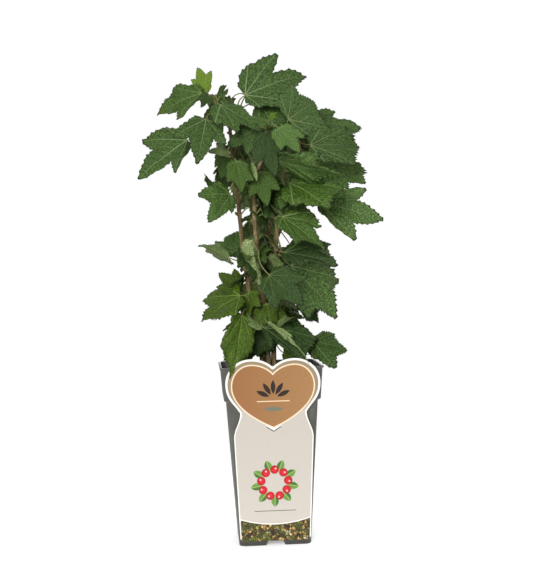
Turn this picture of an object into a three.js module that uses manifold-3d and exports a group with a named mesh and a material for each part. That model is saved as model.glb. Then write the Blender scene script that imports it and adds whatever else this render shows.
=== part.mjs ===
// A young redcurrant bush in its square nursery pot, with a heart-topped label card hung on the rim.
// Millimetres, +Z up. The origin is the middle of the pot's underside and the card faces -Y.

import * as THREE from 'three';
import { mergeVertices } from 'three/addons/utils/BufferGeometryUtils.js';
import Module from 'manifold-3d';

const wasm = await Module();
wasm.setup();

// Driving sizes of the pot
const potHeight = 191;
const footHalf = 38.5;
const shoulderHeight = 155;
const shoulderHalf = 48.5;
const bandHalf = 51.5;
const bandTopHalf = 54;
const rimHalf = 55.3;
const rimHeight = 2.5;
const wall = 1.2;
const floorHeight = 7;
const notchWidth = 18;
const notchHeight = 5;
const notchLength = 24;
const drainRadius = 5;

// Driving sizes of what stands in and on the pot
const clear = 0.3;
const soilTop = 172;
const forkHeight = 190;
const footCentre = [-1, 0];
const flareRadius = 11;
const neckRadius = 8;
const stemRadius = 3.1;
const stemTipRadius = 1.9;
const spurRadius = 1.5;
const spurTipRadius = 1.1;
const stalkRadius = 0.8;
const stalkTipRadius = 0.6;
const bladeThickness = 0.8;

// Driving sizes of the label card
const cardFoot = 4;
const cardThickness = 0.8;
const cardFootHalf = 37.5;
const cardShoulderHalf = 42;
const cardShoulder = 117;
const cardNeckHalf = 35;
const cardNeck = 140;
const heartHalf = 50;
const heartWidest = 171;
const lobeHalf = 23;
const heartTop = 197;
const heartDip = 188;
const tongueHalf = 18;

const colours = {
  pot: new THREE.MeshStandardMaterial({ color: 0x5c5c57, roughness: 0.5, metalness: 0 }),
  soil: new THREE.MeshStandardMaterial({ color: 0x3a2c20, roughness: 1, metalness: 0 }),
  card: new THREE.MeshStandardMaterial({ color: 0xcfc9bb, roughness: 0.45, metalness: 0 }),
  bark: new THREE.MeshStandardMaterial({ color: 0x7d6a50, roughness: 0.9, metalness: 0 }),
  leaf: new THREE.MeshStandardMaterial({ color: 0x4c6637, roughness: 0.6, metalness: 0 }),
};

const radians = THREE.MathUtils.degToRad;

// A closed geometry becomes a solid, and a solid becomes a geometry again.
function toSolid(geometry) {
  const plain = geometry.clone();
  plain.deleteAttribute('normal');
  plain.deleteAttribute('uv');
  const merged = mergeVertices(plain, 1e-4);
  const vertProperties = new Float32Array(merged.attributes.position.array);
  const triVerts = new Uint32Array(merged.index.array);
  return new wasm.Manifold(new wasm.Mesh({ numProp: 3, vertProperties, triVerts }));
}

function toGeometry(solid) {
  const { vertProperties, triVerts } = solid.getMesh();
  const geometry = new THREE.BufferGeometry();
  geometry.setAttribute('position', new THREE.BufferAttribute(new Float32Array(vertProperties), 3));
  geometry.setIndex(new THREE.BufferAttribute(new Uint32Array(triVerts), 1));
  const faceted = geometry.toNonIndexed();
  faceted.computeVertexNormals();
  return faceted;
}

function indexed(points, faces) {
  const geometry = new THREE.BufferGeometry();
  geometry.setAttribute('position', new THREE.Float32BufferAttribute(points.flat(), 3));
  geometry.setIndex(faces.flat());
  return geometry;
}

// A square with round corners, as one ring of points at height z, anticlockwise from above.
const cornerSteps = 4;

function squareRing(half, corner, z) {
  const ring = [];
  for (let quarter = 0; quarter < 4; quarter += 1) {
    for (let step = 0; step <= cornerSteps; step += 1) {
      const turn = radians(90 * (quarter + step / cornerSteps));
      const centre = half - corner;
      const signX = quarter === 0 || quarter === 3 ? 1 : -1;
      const signY = quarter < 2 ? 1 : -1;
      ring.push([signX * centre + corner * Math.cos(turn), signY * centre + corner * Math.sin(turn), z]);
    }
  }
  return ring;
}

// The square counterpart of a lathe: rings of [half width, corner radius, height] joined in order,
// closed at both ends by a point on the axis.
function squareLathe(profile) {
  const rings = profile.map(([half, corner, z]) => squareRing(half, corner, z));
  const size = rings[0].length;
  const points = rings.flat();
  const first = points.length;
  points.push([0, 0, profile[0][2]]);
  points.push([0, 0, profile[profile.length - 1][2]]);
  const faces = [];
  for (let k = 0; k < size; k += 1) {
    const next = (k + 1) % size;
    const top = (rings.length - 1) * size;
    faces.push([first, next, k]);
    faces.push([first + 1, top + k, top + next]);
    for (let ring = 0; ring < rings.length - 1; ring += 1) {
      const here = ring * size;
      const above = here + size;
      faces.push([here + k, here + next, above + next]);
      faces.push([here + k, above + next, above + k]);
    }
  }
  return indexed(points, faces);
}

// Half width of the pot's outside at a height of its tapering body and its band.
const bodySlope = (shoulderHalf - footHalf) / shoulderHeight;
const bandSlope = (bandTopHalf - bandHalf) / (potHeight - shoulderHeight);
const bodyAt = (z) => footHalf + bodySlope * z;
const bandAt = (z) => bandHalf + bandSlope * (z - shoulderHeight);

// One thin moulded wall: out along the underside, up the outside, over the rim and down the inside.
function makePot() {
  const profile = [
    [footHalf - 1, 6, 0],
    [footHalf, 7, 1],
    [shoulderHalf, 8, shoulderHeight - 1],
    [bandHalf, 9, shoulderHeight + 0.5],
    [bandTopHalf, 10, potHeight - rimHeight],
    [rimHalf, 10.5, potHeight - rimHeight + 0.6],
    [rimHalf, 10.5, potHeight - 0.6],
    [rimHalf - 0.6, 10, potHeight],
    [bandTopHalf - wall + 0.5, 9, potHeight],
    [bandTopHalf - wall, 8.8, potHeight - 0.8],
    [bandHalf - wall, 7.8, shoulderHeight + 1.5],
    [shoulderHalf - wall, 6.8, shoulderHeight],
    [bodyAt(floorHeight) - wall, 5.8, floorHeight],
  ];
  let pot = toSolid(squareLathe(profile));

  // A foot notch in the middle of each side leads in to a drain hole.
  const notchShape = new THREE.Shape();
  notchShape.moveTo(-notchWidth / 2 - 2, -1);
  notchShape.lineTo(notchWidth / 2 + 2, -1);
  notchShape.lineTo(notchWidth / 2 - 1.5, notchHeight);
  notchShape.lineTo(-notchWidth / 2 + 1.5, notchHeight);
  notchShape.closePath();
  for (let side = 0; side < 4; side += 1) {
    const turn = radians(90 * side);
    const notch = new THREE.ExtrudeGeometry(notchShape, { depth: notchLength, bevelEnabled: false });
    notch.rotateX(Math.PI / 2);
    notch.translate(0, footHalf + 3, 0);
    notch.rotateZ(turn);
    const drain = new THREE.CylinderGeometry(drainRadius, drainRadius, 3 * floorHeight, 20);
    drain.rotateX(Math.PI / 2);
    drain.translate(0, footHalf + 3 - notchLength + drainRadius + 2, floorHeight / 2);
    drain.rotateZ(turn);
    pot = pot.subtract(toSolid(notch)).subtract(toSolid(drain));
  }
  return toGeometry(pot);
}

// The growing medium fills the pot from its floor to just under the band's middle.
function makeSoil() {
  const inside = (half) => half - wall - clear;
  return squareLathe([
    [inside(bodyAt(floorHeight)), 5.5, floorHeight + clear],
    [inside(shoulderHalf), 6.5, shoulderHeight],
    [inside(bandHalf) - 0.2, 7.5, shoulderHeight + 3],
    [inside(bandAt(soilTop)) - 0.4, 8.5, soilTop - 2],
    [30, 8, soilTop],
  ]);
}

// A stiff printed card: a tapered shield below, a neck, and a heart on top, cut in one outline.
// A tongue behind the heart's dip goes over the rim and down inside the pot.
function makeCard() {
  // The right half from the foot's middle up to the heart's dip, and its mirror image back down.
  const half = new THREE.Path();
  half.moveTo(0, 0);
  half.lineTo(cardFootHalf - 4, 0);
  half.quadraticCurveTo(cardFootHalf, 0, cardFootHalf, 4);
  half.lineTo(cardShoulderHalf, cardShoulder - 4);
  half.bezierCurveTo(cardShoulderHalf, cardShoulder + 6, cardNeckHalf, cardNeck - 10, cardNeckHalf, cardNeck);
  half.bezierCurveTo(cardNeckHalf + 6, cardNeck + 10, heartHalf, heartWidest - 16, heartHalf, heartWidest);
  half.bezierCurveTo(heartHalf, heartTop - 10, lobeHalf + 14, heartTop, lobeHalf, heartTop);
  half.bezierCurveTo(lobeHalf - 10, heartTop, 5, heartDip + 5, 0, heartDip);
  const right = half.getPoints(7);
  const left = right.slice(1, -1).reverse().map((point) => new THREE.Vector2(-point.x, point.y));
  const outline = new THREE.Shape([...right, ...left]);
  const sheet = new THREE.ExtrudeGeometry(outline, { depth: cardThickness, bevelEnabled: false });
  const lean = Math.atan((rimHalf - footHalf) / (potHeight - cardFoot));
  sheet.rotateX(Math.PI / 2 + lean);
  sheet.translate(0, -footHalf - 2 * clear, cardFoot);

  const over = potHeight + clear;
  const behind = -bandAt(soilTop) + wall + clear;
  const tongueShape = new THREE.Shape();
  tongueShape.moveTo(-rimHalf - 1.4, over);
  tongueShape.lineTo(behind, over);
  tongueShape.lineTo(behind, soilTop + 2);
  tongueShape.lineTo(behind + cardThickness, soilTop + 2);
  tongueShape.lineTo(behind + cardThickness, over + cardThickness);
  tongueShape.lineTo(-rimHalf - 1.4, over + cardThickness);
  tongueShape.closePath();
  const tongue = new THREE.ExtrudeGeometry(tongueShape, { depth: 2 * tongueHalf, bevelEnabled: false });
  tongue.applyMatrix4(new THREE.Matrix4().set(0, 0, 1, -tongueHalf, 1, 0, 0, 0, 0, 1, 0, 0, 0, 0, 0, 1));
  return toGeometry(toSolid(sheet).add(toSolid(tongue)));
}

// A limb: round sections along a curve, their radius a function of the share of its length, closed
// by a flat face at each end.
function makeLimb(curve, radius, steps, sides) {
  const frames = curve.computeFrenetFrames(steps, false);
  const points = [];
  for (let step = 0; step <= steps; step += 1) {
    const t = step / steps;
    const centre = curve.getPointAt(t);
    for (let side = 0; side < sides; side += 1) {
      const turn = (2 * Math.PI * side) / sides;
      const point = centre.clone();
      point.addScaledVector(frames.normals[step], radius(t) * Math.cos(turn));
      point.addScaledVector(frames.binormals[step], radius(t) * Math.sin(turn));
      points.push(point.toArray());
    }
  }
  const faces = [];
  const last = steps * sides;
  for (let side = 0; side < sides; side += 1) {
    const next = (side + 1) % sides;
    for (let step = 0; step < steps; step += 1) {
      const here = step * sides;
      const above = here + sides;
      faces.push([here + side, here + next, above + next]);
      faces.push([here + side, above + next, above + side]);
    }
    if (side > 0 && side < sides - 1) {
      faces.push([0, side + 1, side]);
      faces.push([last, last + side, last + side + 1]);
    }
  }
  return indexed(points, faces);
}

const vector = (point) => new THREE.Vector3(...point);
const taper = (from, to) => (t) => from + (to - from) * t;

// The short woody foot, widest at the ground, where it is cut flat, and again at the fork.
const [footX, footY] = footCentre;
const footCurve = new THREE.LineCurve3(
  new THREE.Vector3(footX, footY, soilTop + clear),
  new THREE.Vector3(footX, footY, forkHeight),
);
const footRadius = (t) => neckRadius + (flareRadius - neckRadius) * (1 - t) ** 4 + 1.2 * t ** 3;

// The stems rise from the fork. Each is a curve through a few places it passes, mm in the frame.
const stemPaths = {
  stem_left: [[-7, -1, 0], [-14, -1, 237], [-24, 2, 302], [-31, 5, 387], [-37, 6, 454]],
  stem_middle: [[-1, -6, 0], [-4, -7, 242], [-11, -11, 317], [-12, -12, 374], [0, -25, 436]],
  stem_right: [[5, -1, 0], [7, -1, 242], [10, -3, 317], [17, -4, 374], [34, -3, 438]],
  stem_back: [[-1, 6, 0], [-3, 14, 242], [2, 22, 317], [7, 26, 382], [5, 31, 448]],
};

function stemCurve([base, ...places]) {
  const [x, y] = base;
  const start = forkHeight + clear;
  const points = [vector([x, y, start]), vector([x, y, start + 6]), ...places.map(vector)];
  return new THREE.CatmullRomCurve3(points);
}

const stemCurves = {};
Object.entries(stemPaths).forEach(([name, path]) => {
  stemCurves[name] = stemCurve(path);
});
const stemTaper = taper(stemRadius, stemTipRadius);

// The share of a stem's length at which it has risen to a height.
function shareAtHeight(curve, height) {
  let low = 0;
  let high = 1;
  while (high - low > 1e-4) {
    const middle = (low + high) / 2;
    if (curve.getPointAt(middle).z < height) {
      low = middle;
    } else {
      high = middle;
    }
  }
  return low;
}

// A spur starts square on its stem's side, a hair clear of the bark, or on its tip, and bends to its end.
function spurCurve(stem, height, end) {
  const curve = stemCurves[stem];
  const share = shareAtHeight(curve, height);
  const along = curve.getTangentAt(share);
  const root = curve.getPointAt(share);
  const out = along.clone();
  if (share < 0.99) {
    out.copy(end).sub(root);
    out.addScaledVector(along, -out.dot(along)).normalize();
    root.addScaledVector(out, stemTaper(share));
  }
  root.addScaledVector(out, clear);
  return new THREE.CatmullRomCurve3([root, root.clone().addScaledVector(out, 3), end]);
}

// Half of a leaf's outline: angle from the midrib in degrees and reach as a share of its length.
// The middle lobe ends at 0, a side lobe at 34 and a small lobe near the stalk at 64.
const lobes = [
  [0, 1], [7, 0.9], [13, 0.75], [20, 0.61], [27, 0.74], [34, 0.79],
  [43, 0.65], [52, 0.48], [64, 0.44], [82, 0.3], [112, 0.14],
];
const ribs = [0, 20, 34, 52, 82];
const lobeStart = 20;
const baseStart = 38;
const smallLeaf = 36;
const fold = 0.15;
const droop = 0.12;

const reachAt = (angle) => lobes.find(([place]) => place === angle)[1];
const bothSides = (half) => [...half.slice(1).reverse().map(([a, r]) => [-a, r]), ...half];

// The upper face of a leaf of unit length in its own frame: x along the midrib, y to its left.
// Past the middle lobe, the lobes on a side reach as far as that side's share says, and those near
// the stalk as far as the base's share says: a small one makes the leaf a wedge.
function bladePoint(angle, usualReach, { width, left, right, base }) {
  const side = angle > 0 ? left : right;
  const past = (start) => Math.min(1, Math.max(0, (Math.abs(angle) - start) / lobeStart));
  const reach = usualReach * (1 + (side - 1) * past(0)) * (1 + (base - 1) * past(baseStart));
  const x = reach * Math.cos(radians(angle));
  const y = reach * Math.sin(radians(angle));
  return [x, y * width, fold * Math.abs(y) - droop * reach * reach + droop * x];
}

// A leaf blade: its foot, an inner ring on the ribs and the outline, with a second such face below.
// A small leaf, and one on the far side, has only the tips of its lobes and the bays between them.
function makeBlade(length, shape) {
  const half = shape.plain || length < smallLeaf ? ribs.map((angle) => [angle, reachAt(angle)]) : lobes;
  const outer = bothSides(half).map(([angle, reach]) => bladePoint(angle, reach, shape));
  const inner = bothSides(ribs.map((angle) => [angle, reachAt(angle) / 2]));
  const rim = bothSides(half).map(([angle]) => angle);
  const face = [[0, 0, 0], ...inner.map(([angle, reach]) => bladePoint(angle, reach, shape)), ...outer];
  const innerAt = 1;
  const outerAt = 1 + inner.length;
  const top = [];
  let ring = 0;
  top.push([0, outerAt, innerAt]);
  for (let edge = 0; edge < outer.length - 1; edge += 1) {
    const passed = ring < inner.length - 1 && rim[edge + 1] > (inner[ring][0] + inner[ring + 1][0]) / 2;
    if (passed) {
      top.push([innerAt + ring, outerAt + edge, innerAt + ring + 1]);
      top.push([0, innerAt + ring, innerAt + ring + 1]);
      ring += 1;
    }
    top.push([innerAt + ring, outerAt + edge, outerAt + edge + 1]);
  }
  top.push([0, innerAt + ring, outerAt + outer.length - 1]);

  const count = face.length;
  const upper = face.map(([x, y, z]) => [x * length, y * length, z * length]);
  const lower = upper.map(([x, y, z]) => [x, y, z - bladeThickness]);
  const faces = [...top, ...top.map(([a, b, c]) => [count + a, count + c, count + b])];
  const border = [0, ...outer.map((point, k) => outerAt + k)];
  border.forEach((from, k) => {
    const to = border[(k + 1) % border.length];
    faces.push([from, count + from, count + to]);
    faces.push([from, count + to, to]);
  });
  return indexed([...upper, ...lower], faces);
}

// A leaf on its stalk. The stalk is rooted on the spur's axis, bows out and enters the blade's foot.
function makeLeaf(root, row, plain) {
  const [x, y, z, heading, rise, roll, length, width, left = 1, right = 1, base = 1] = row;
  const placed = new THREE.Matrix4().makeRotationFromEuler(
    new THREE.Euler(radians(roll), -radians(rise), radians(heading), 'ZYX'),
  );
  placed.setPosition(x, y, z);
  const blade = makeBlade(length, { width, left, right, base, plain }).applyMatrix4(placed);
  const foot = new THREE.Vector3(x, y, z);
  const entry = new THREE.Vector3(4, 0, -bladeThickness / 2).applyMatrix4(placed);
  const before = new THREE.Vector3(-0.4 * foot.distanceTo(root), 0, 0).applyMatrix4(placed);
  const stalk = new THREE.CubicBezierCurve3(root, root.clone().lerp(before, 0.6), before, entry);
  const stalkSolid = toSolid(makeLimb(stalk, taper(stalkRadius, stalkTipRadius), 3, 3));
  return toSolid(blade).add(stalkSolid);
}

// Leaves that show, one row each, in mm and degrees: where the blade starts, the way its midrib
// heads, how far it rises, its roll about the midrib, its length, and against the usual its width,
// its left and right lobes and its base. Along a spur they stand from the stem to the tip.
const foliage = [
  { name: 'leaves_top_left', stem: 'stem_left', height: 454, end: [-57, 2, 486], leaves: [
    [-64, -17, 459, -103, -50, -23, 67, 1.05, 0.7, 0.85, 0.7],
    [-52, 14, 487, 67, -67, -167, 32, 0.8],
    [-51, 8, 488, 30, 52, 31, 17, 0.8],
    [-59, -6, 487, -146, -53, -107, 16, 0.8],
    [-64, -7, 488, 162, -19, -59, 57, 1.15, 0.85, 0.9],
    [-61, 2, 490, 147, 71, -49, 31, 0.8],
  ] },
  { name: 'leaves_left', stem: 'stem_left', height: 428, end: [-45, 4, 436], leaves: [
    [-40, 17, 418, 131, -70, -128, 33, 0.7],
    [-39, -9, 421, -153, 5, -61, 26, 0.9],
    [-83, 1, 435, -177, -35, -55, 68, 1.35, 0.7, 0.95, 0.85],
  ] },
  { name: 'leaves_middle_left', stem: 'stem_left', height: 386, end: [-35, -9, 392], leaves: [
    [-39, -19, 378, -130, -40, -80, 48, 1, 0.75, 1.3],
    [-54, -6, 376, 176, 65, -30, 27, 0.5],
    [-32, -32, 411, -68, -69, 17, 37, 0.8],
  ] },
  { name: 'leaves_lower_left', stem: 'stem_left', height: 302, end: [-31, 13, 307], leaves: [
    [-42, 15, 309, 144, 22, 47, 39, 1.2, 0.8, 1.15],
    [-35, 33, 316, 140, 48, -41, 27, 1],
  ] },
  { name: 'leaves_low_left', stem: 'stem_left', height: 240, end: [-19, -14, 252], leaves: [
    [-19, -12, 238, -34, -70, 49, 33, 0.8],
    [-9, -37, 233, -154, 38, 143, 25, 0.7],
    [-34, -38, 245, -120, -66, -55, 60, 0.6, 0.95, 1.15, 0.7],
    [-29, -23, 267, 173, -32, -31, 51, 1.25, 0.85, 1.2],
    [-33, -5, 274, 176, 41, -50, 27, 1.2],
  ] },
  { name: 'leaves_top', stem: 'stem_left', height: 442, end: [-28, 5, 476], leaves: [
    [-47, -4, 477, -32, -43, 56, 52, 0.9, 0.75, 1],
    [1, 24, 491, -26, -41, 69, 50, 1],
    [-22, 7, 490, 9, 20, 44, 77, 0.95, 1.3, 1.05, 0.85],
  ] },
  { name: 'leaves_front', stem: 'stem_middle', height: 436, end: [3, -36, 448], leaves: [
    [-7, -12, 444, -163, -33, -66, 33, 1.1],
    [0, -42, 441, -70, -67, 42, 55, 0.75],
    [12, -61, 441, -41, -47, 48, 39, 0.85],
    [2, -48, 450, -151, -6, -47, 26, 0.8],
    [4, -46, 453, -32, 37, 85, 11, 0.8],
  ] },
  { name: 'leaves_middle', stem: 'stem_middle', height: 386, end: [-11, -22, 400], leaves: [
    [-6, -24, 400, -71, -66, 31, 42, 0.9],
  ] },
  { name: 'leaves_centre', stem: 'stem_middle', height: 308, end: [-10, -24, 316], leaves: [
    [-18, -29, 326, 52, -72, -59, 54, 0.6],
    [-1, -50, 288, -30, -39, 60, 44, 0.95],
  ] },
  { name: 'leaves_upper_right', stem: 'stem_right', height: 438, end: [40, -8, 448], leaves: [
    [60, 8, 410, -13, -17, 62, 57, 0.55, 1.15, 1.05],
    [48, -38, 424, 11, 1, 76, 54, 0.7, 1.05, 1.25],
    [48, 5, 458, 0, -4, 49, 64, 0.85, 0.8, 1.15],
    [26, -20, 456, -15, 27, 75, 34, 1.3],
  ] },
  { name: 'leaves_right', stem: 'stem_right', height: 376, end: [23, -15, 386], leaves: [
    [11, -17, 370, -20, -14, 51, 27, 1],
    [60, -6, 367, -20, -17, 71, 73, 0.9, 0.9, 1.05, 0.4],
    [26, -18, 388, -25, -7, 40, 67, 1, 0.7, 1.15],
    [13, -39, 410, -22, -14, -22, 72, 0.55],
  ] },
  { name: 'leaves_middle_right', stem: 'stem_right', height: 306, end: [15, -20, 316], leaves: [
    [25, -22, 295, 7, -49, 58, 74, 1, 1.1, 0.85],
    [18, -37, 312, -14, -14, 34, 60, 1, 1.1, 1.05],
    [11, -39, 351, -23, -30, 22, 65, 0.9, 0.95, 1.1],
  ] },
  { name: 'leaves_low_right', stem: 'stem_right', height: 234, end: [11, -14, 244], leaves: [
    [7, -15, 201, 16, -13, 45, 28, 0.85],
    [47, -19, 212, -40, -6, 64, 46, 0.85, 0.95, 1.3],
    [-1, -38, 232, -22, -40, 24, 52, 1.1, 1.3, 0.95],
    [9, -40, 233, -21, 32, -13, 20, 0.7],
    [35, -7, 260, -24, -49, 55, 31, 0.8],
  ] },
];

// Foliage on the far side grows by rule: leaves fan out behind the spur's end between two headings,
// at evenly rising heights, with a seeded share of chance in each measure.
const farFoliage = [
  { name: 'leaves_back_top', stem: 'stem_back', height: 448, end: [5, 36, 460],
    count: 12, low: 420, high: 498, headings: [15, 135], reach: 28, length: 54, seed: 7 },
  { name: 'leaves_back_middle', stem: 'stem_back', height: 352, end: [8, 36, 362],
    count: 12, low: 315, high: 410, headings: [5, 125], reach: 26, length: 54, seed: 19 },
  { name: 'leaves_back_low', stem: 'stem_back', height: 257, end: [-1, 26, 264],
    count: 9, low: 215, high: 300, headings: [30, 145], reach: 22, length: 50, seed: 31 },
  { name: 'leaves_back_left', stem: 'stem_back', height: 398, end: [-18, 34, 404],
    count: 6, low: 392, high: 444, headings: [112, 165], reach: 26, length: 40, seed: 47 },
  { name: 'leaves_back_right', stem: 'stem_back', height: 404, end: [28, 24, 410],
    count: 8, low: 386, high: 450, headings: [-5, 60], reach: 24, length: 48, seed: 59 },
];

const goldenShare = 0.618034;

// A small generator of even chances between 0 and 1, so that every run gives the same leaves.
function makeChance(seed) {
  let state = seed;
  return () => {
    state = (state * 16807) % 2147483647;
    return state / 2147483647;
  };
}

function farLeaves({ end, count, low, high, headings, reach, length, seed }) {
  const chance = makeChance(seed);
  const rows = [];
  for (let k = 0; k < count; k += 1) {
    const heading = headings[0] + (headings[1] - headings[0]) * ((k * goldenShare + 0.15 * chance()) % 1);
    const out = reach * (0.7 + 0.6 * chance());
    const height = low + ((high - low) * (k + chance())) / count;
    const x = end[0] + out * Math.cos(radians(heading));
    const y = end[1] + out * Math.sin(radians(heading));
    const rise = -28 - 40 * chance();
    const roll = -25 + 50 * chance();
    rows.push([x, y, height, heading, rise, roll, length * (0.85 + 0.3 * chance()), 0.95]);
  }
  return rows;
}

const nodes = [];

function addNode(name, geometry, material) {
  const mesh = new THREE.Mesh(geometry, material);
  mesh.name = name;
  nodes.push(mesh);
  return mesh;
}

addNode('pot', makePot(), colours.pot);
addNode('soil', makeSoil(), colours.soil);
addNode('label_card', makeCard(), colours.card);
addNode('trunk_foot', makeLimb(footCurve, footRadius, 8, 14), colours.bark);
Object.entries(stemCurves).forEach(([name, curve]) => {
  addNode(name, makeLimb(curve, stemTaper, 18, 8), colours.bark);
});

// Each mass of foliage is one solid: its spur, and the leaves that touch nothing built before it.
const built = nodes.map((mesh) => toSolid(mesh.geometry));

function makeMass({ stem, height, end }, rows, far) {
  const spur = spurCurve(stem, height, vector(end));
  let mass = toSolid(makeLimb(spur, taper(spurRadius, spurTipRadius), 6, 5));
  rows.forEach((row, k) => {
    const share = 0.45 + (0.5 * (k + 1)) / rows.length;
    const leaf = makeLeaf(spur.getPointAt(share), row, far);
    const touches = far && built.some((solid) => solid.intersect(leaf).volume() > 0);
    if (!touches) {
      mass = mass.add(leaf);
    }
  });
  built.push(mass);
  return toGeometry(mass);
}

foliage.forEach((mass) => {
  addNode(mass.name, makeMass(mass, mass.leaves, false), colours.leaf);
});
farFoliage.forEach((mass) => {
  addNode(mass.name, makeMass(mass, farLeaves(mass), true), colours.leaf);
});

const group = new THREE.Group();
group.add(...nodes);

export default group;
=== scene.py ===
# %% [markdown]
# # A young redcurrant bush in its nursery pot
# The plant stands in a tall square pot of thin dark grey plastic. A printed card hangs on the rim, and
# four woody stems rise from one short foot. This lesson dresses the plain solids of the part: each
# solid is replaced by a finer surface, worked out with numpy from the same named sizes, and each
# surface gets its finish. The frame comes first, because every piece is placed by it.

import bpy
import numpy as np
from mathutils import Matrix, Vector


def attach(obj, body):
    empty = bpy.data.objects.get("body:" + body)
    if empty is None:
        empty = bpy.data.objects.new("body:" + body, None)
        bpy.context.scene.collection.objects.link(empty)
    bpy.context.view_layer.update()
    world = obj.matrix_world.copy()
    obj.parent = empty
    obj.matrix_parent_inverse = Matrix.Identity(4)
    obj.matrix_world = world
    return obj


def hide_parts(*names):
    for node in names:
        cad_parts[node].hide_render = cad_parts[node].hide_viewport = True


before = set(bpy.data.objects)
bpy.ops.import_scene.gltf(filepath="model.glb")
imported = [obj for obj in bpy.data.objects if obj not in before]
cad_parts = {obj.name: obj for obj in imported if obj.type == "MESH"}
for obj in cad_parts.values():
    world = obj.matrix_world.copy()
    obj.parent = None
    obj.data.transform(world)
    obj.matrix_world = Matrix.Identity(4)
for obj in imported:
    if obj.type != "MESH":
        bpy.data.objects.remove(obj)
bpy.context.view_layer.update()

# %% [markdown]
# ## The camera
# The picture was taken from 1.1 m, level with the middle of the plant. The pot is turned 4 degrees
# from square, and the picture leans 1.4 degrees. A camera is a point and three directions, so its
# matrix is written from those directions, which is surer than turning it by trial.

# %% Place the camera
MM = 0.001
plan_turn = np.radians(4)
picture_lean = np.radians(1.4)
camera_place = np.array([-70.4, -1097.8, 275.2]) * MM
picture_high = 574
focal_pixels = 996

look = np.array([np.sin(plan_turn), np.cos(plan_turn), 0])
level = np.array([np.cos(plan_turn), -np.sin(plan_turn), 0])
rise = np.array([0, 0, 1])
right = np.cos(picture_lean) * level - np.sin(picture_lean) * rise
upward = np.sin(picture_lean) * level + np.cos(picture_lean) * rise

camera_data = bpy.data.cameras.new("camera")
camera_data.lens = camera_data.sensor_width * focal_pixels / picture_high
camera = bpy.data.objects.new("camera", camera_data)
turned = np.eye(4)
turned[:3, :3] = np.stack([right, upward, -look], axis=1)
turned[:3, 3] = camera_place
camera.matrix_world = Matrix(turned)
bpy.context.scene.collection.objects.link(camera)
bpy.context.scene.camera = camera
print("lens in mm:", round(camera_data.lens, 2))

# %% [markdown]
# ## Meshes from arrays
# Everything new is a grid of points with a face between each four neighbours. A leaf is such a grid,
# and so is a stem, whose last column meets its first. Writing whole arrays with foreach_set keeps this
# quick even for half a million faces. Where two edges of a grid lie at the same place, as at a pole or
# a seam, they are welded, so that every piece is one closed skin.

# %% Grids, and arrays into a mesh
def grid(points, wrap=False, flip=False):
    """The points of a grid as a list of places, and its faces: each joins four neighbours."""
    rows, columns = points.shape[:2]
    ids = np.arange(rows * columns).reshape(rows, columns)
    if wrap:
        ids = np.hstack([ids, ids[:, :1]])
    quads = np.stack([ids[:-1, :-1], ids[1:, :-1], ids[1:, 1:], ids[:-1, 1:]], axis=-1)
    quads = quads.reshape(-1, 4)
    return {"points": points.reshape(-1, 3), "quads": quads[:, ::-1] if flip else quads}


def joined(shapes):
    """Several shapes as one: their arrays end to end, with the face numbers moved on."""
    starts = np.cumsum([0] + [len(shape["points"]) for shape in shapes[:-1]])
    whole = {"points": np.concatenate([shape["points"] for shape in shapes])}
    whole["quads"] = np.concatenate([s["quads"] + start for s, start in zip(shapes, starts)])
    for key in shapes[0]:
        if key not in whole:
            whole[key] = np.concatenate([shape[key] for shape in shapes])
    return whole


def welded(shape):
    """The shape with places that coincide made one point, and four-sided faces that lost a corner
    there split off as triangles. Also returns which corners of the old faces remain."""
    near = np.round(shape["points"], 4)
    _, first, same = np.unique(near, axis=0, return_index=True, return_inverse=True)
    quads = same.reshape(-1)[shape["quads"]]
    kept = quads != np.roll(quads, -1, axis=1)
    sides = kept.sum(axis=1)
    return first, quads, kept, sides


def add_piece(name, shape, finishes, replaced=(), sharp=None):
    """A mesh object from a shape in millimetres. Keys beyond points and quads: finish is a number for
    each face, value_NAME a number for each point, and map_NAME a place on a map for each corner."""
    first, quads, kept, sides = welded(shape)
    order = np.concatenate([np.flatnonzero(sides == 4), np.flatnonzero(sides == 3)])
    corners = quads[order][kept[order]]
    sizes = sides[order]
    mesh = bpy.data.meshes.new(name)
    mesh.vertices.add(len(first))
    mesh.vertices.foreach_set("co", (shape["points"][first] * MM).ravel().astype(np.float32))
    mesh.loops.add(len(corners))
    mesh.loops.foreach_set("vertex_index", corners.astype(np.int32))
    mesh.polygons.add(len(sizes))
    mesh.polygons.foreach_set("loop_start", (np.cumsum(sizes) - sizes).astype(np.int32))
    for material in finishes:
        mesh.materials.append(material)
    if "finish" in shape:
        mesh.polygons.foreach_set("material_index", shape["finish"][order].astype(np.int32))
    mesh.update(calc_edges=True)
    mesh.shade_smooth()
    if sharp is not None:
        mesh.set_sharp_from_angle(angle=sharp)
    for key, values in shape.items():
        if key.startswith("value_"):
            layer = mesh.attributes.new(key[6:], "FLOAT", "POINT")
            layer.data.foreach_set("value", values[first].astype(np.float32))
        if key.startswith("map_"):
            layer = mesh.uv_layers.new(name=key[4:])
            layer.uv.foreach_set("vector", values[order][kept[order]].ravel().astype(np.float32))
    piece = bpy.data.objects.new(name, mesh)
    bpy.context.scene.collection.objects.link(piece)
    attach(piece, "root")
    if replaced:
        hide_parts(*replaced)
    print(name, "faces:", len(sizes), "points:", len(first))
    return piece


# %% [markdown]
# ## Seeded bumps
# Bark, soil and leaves are uneven, and the unevenness must be the same on every run. A sum of plane
# waves in seeded directions is smooth, has no grid of its own and needs no picture.

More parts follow.
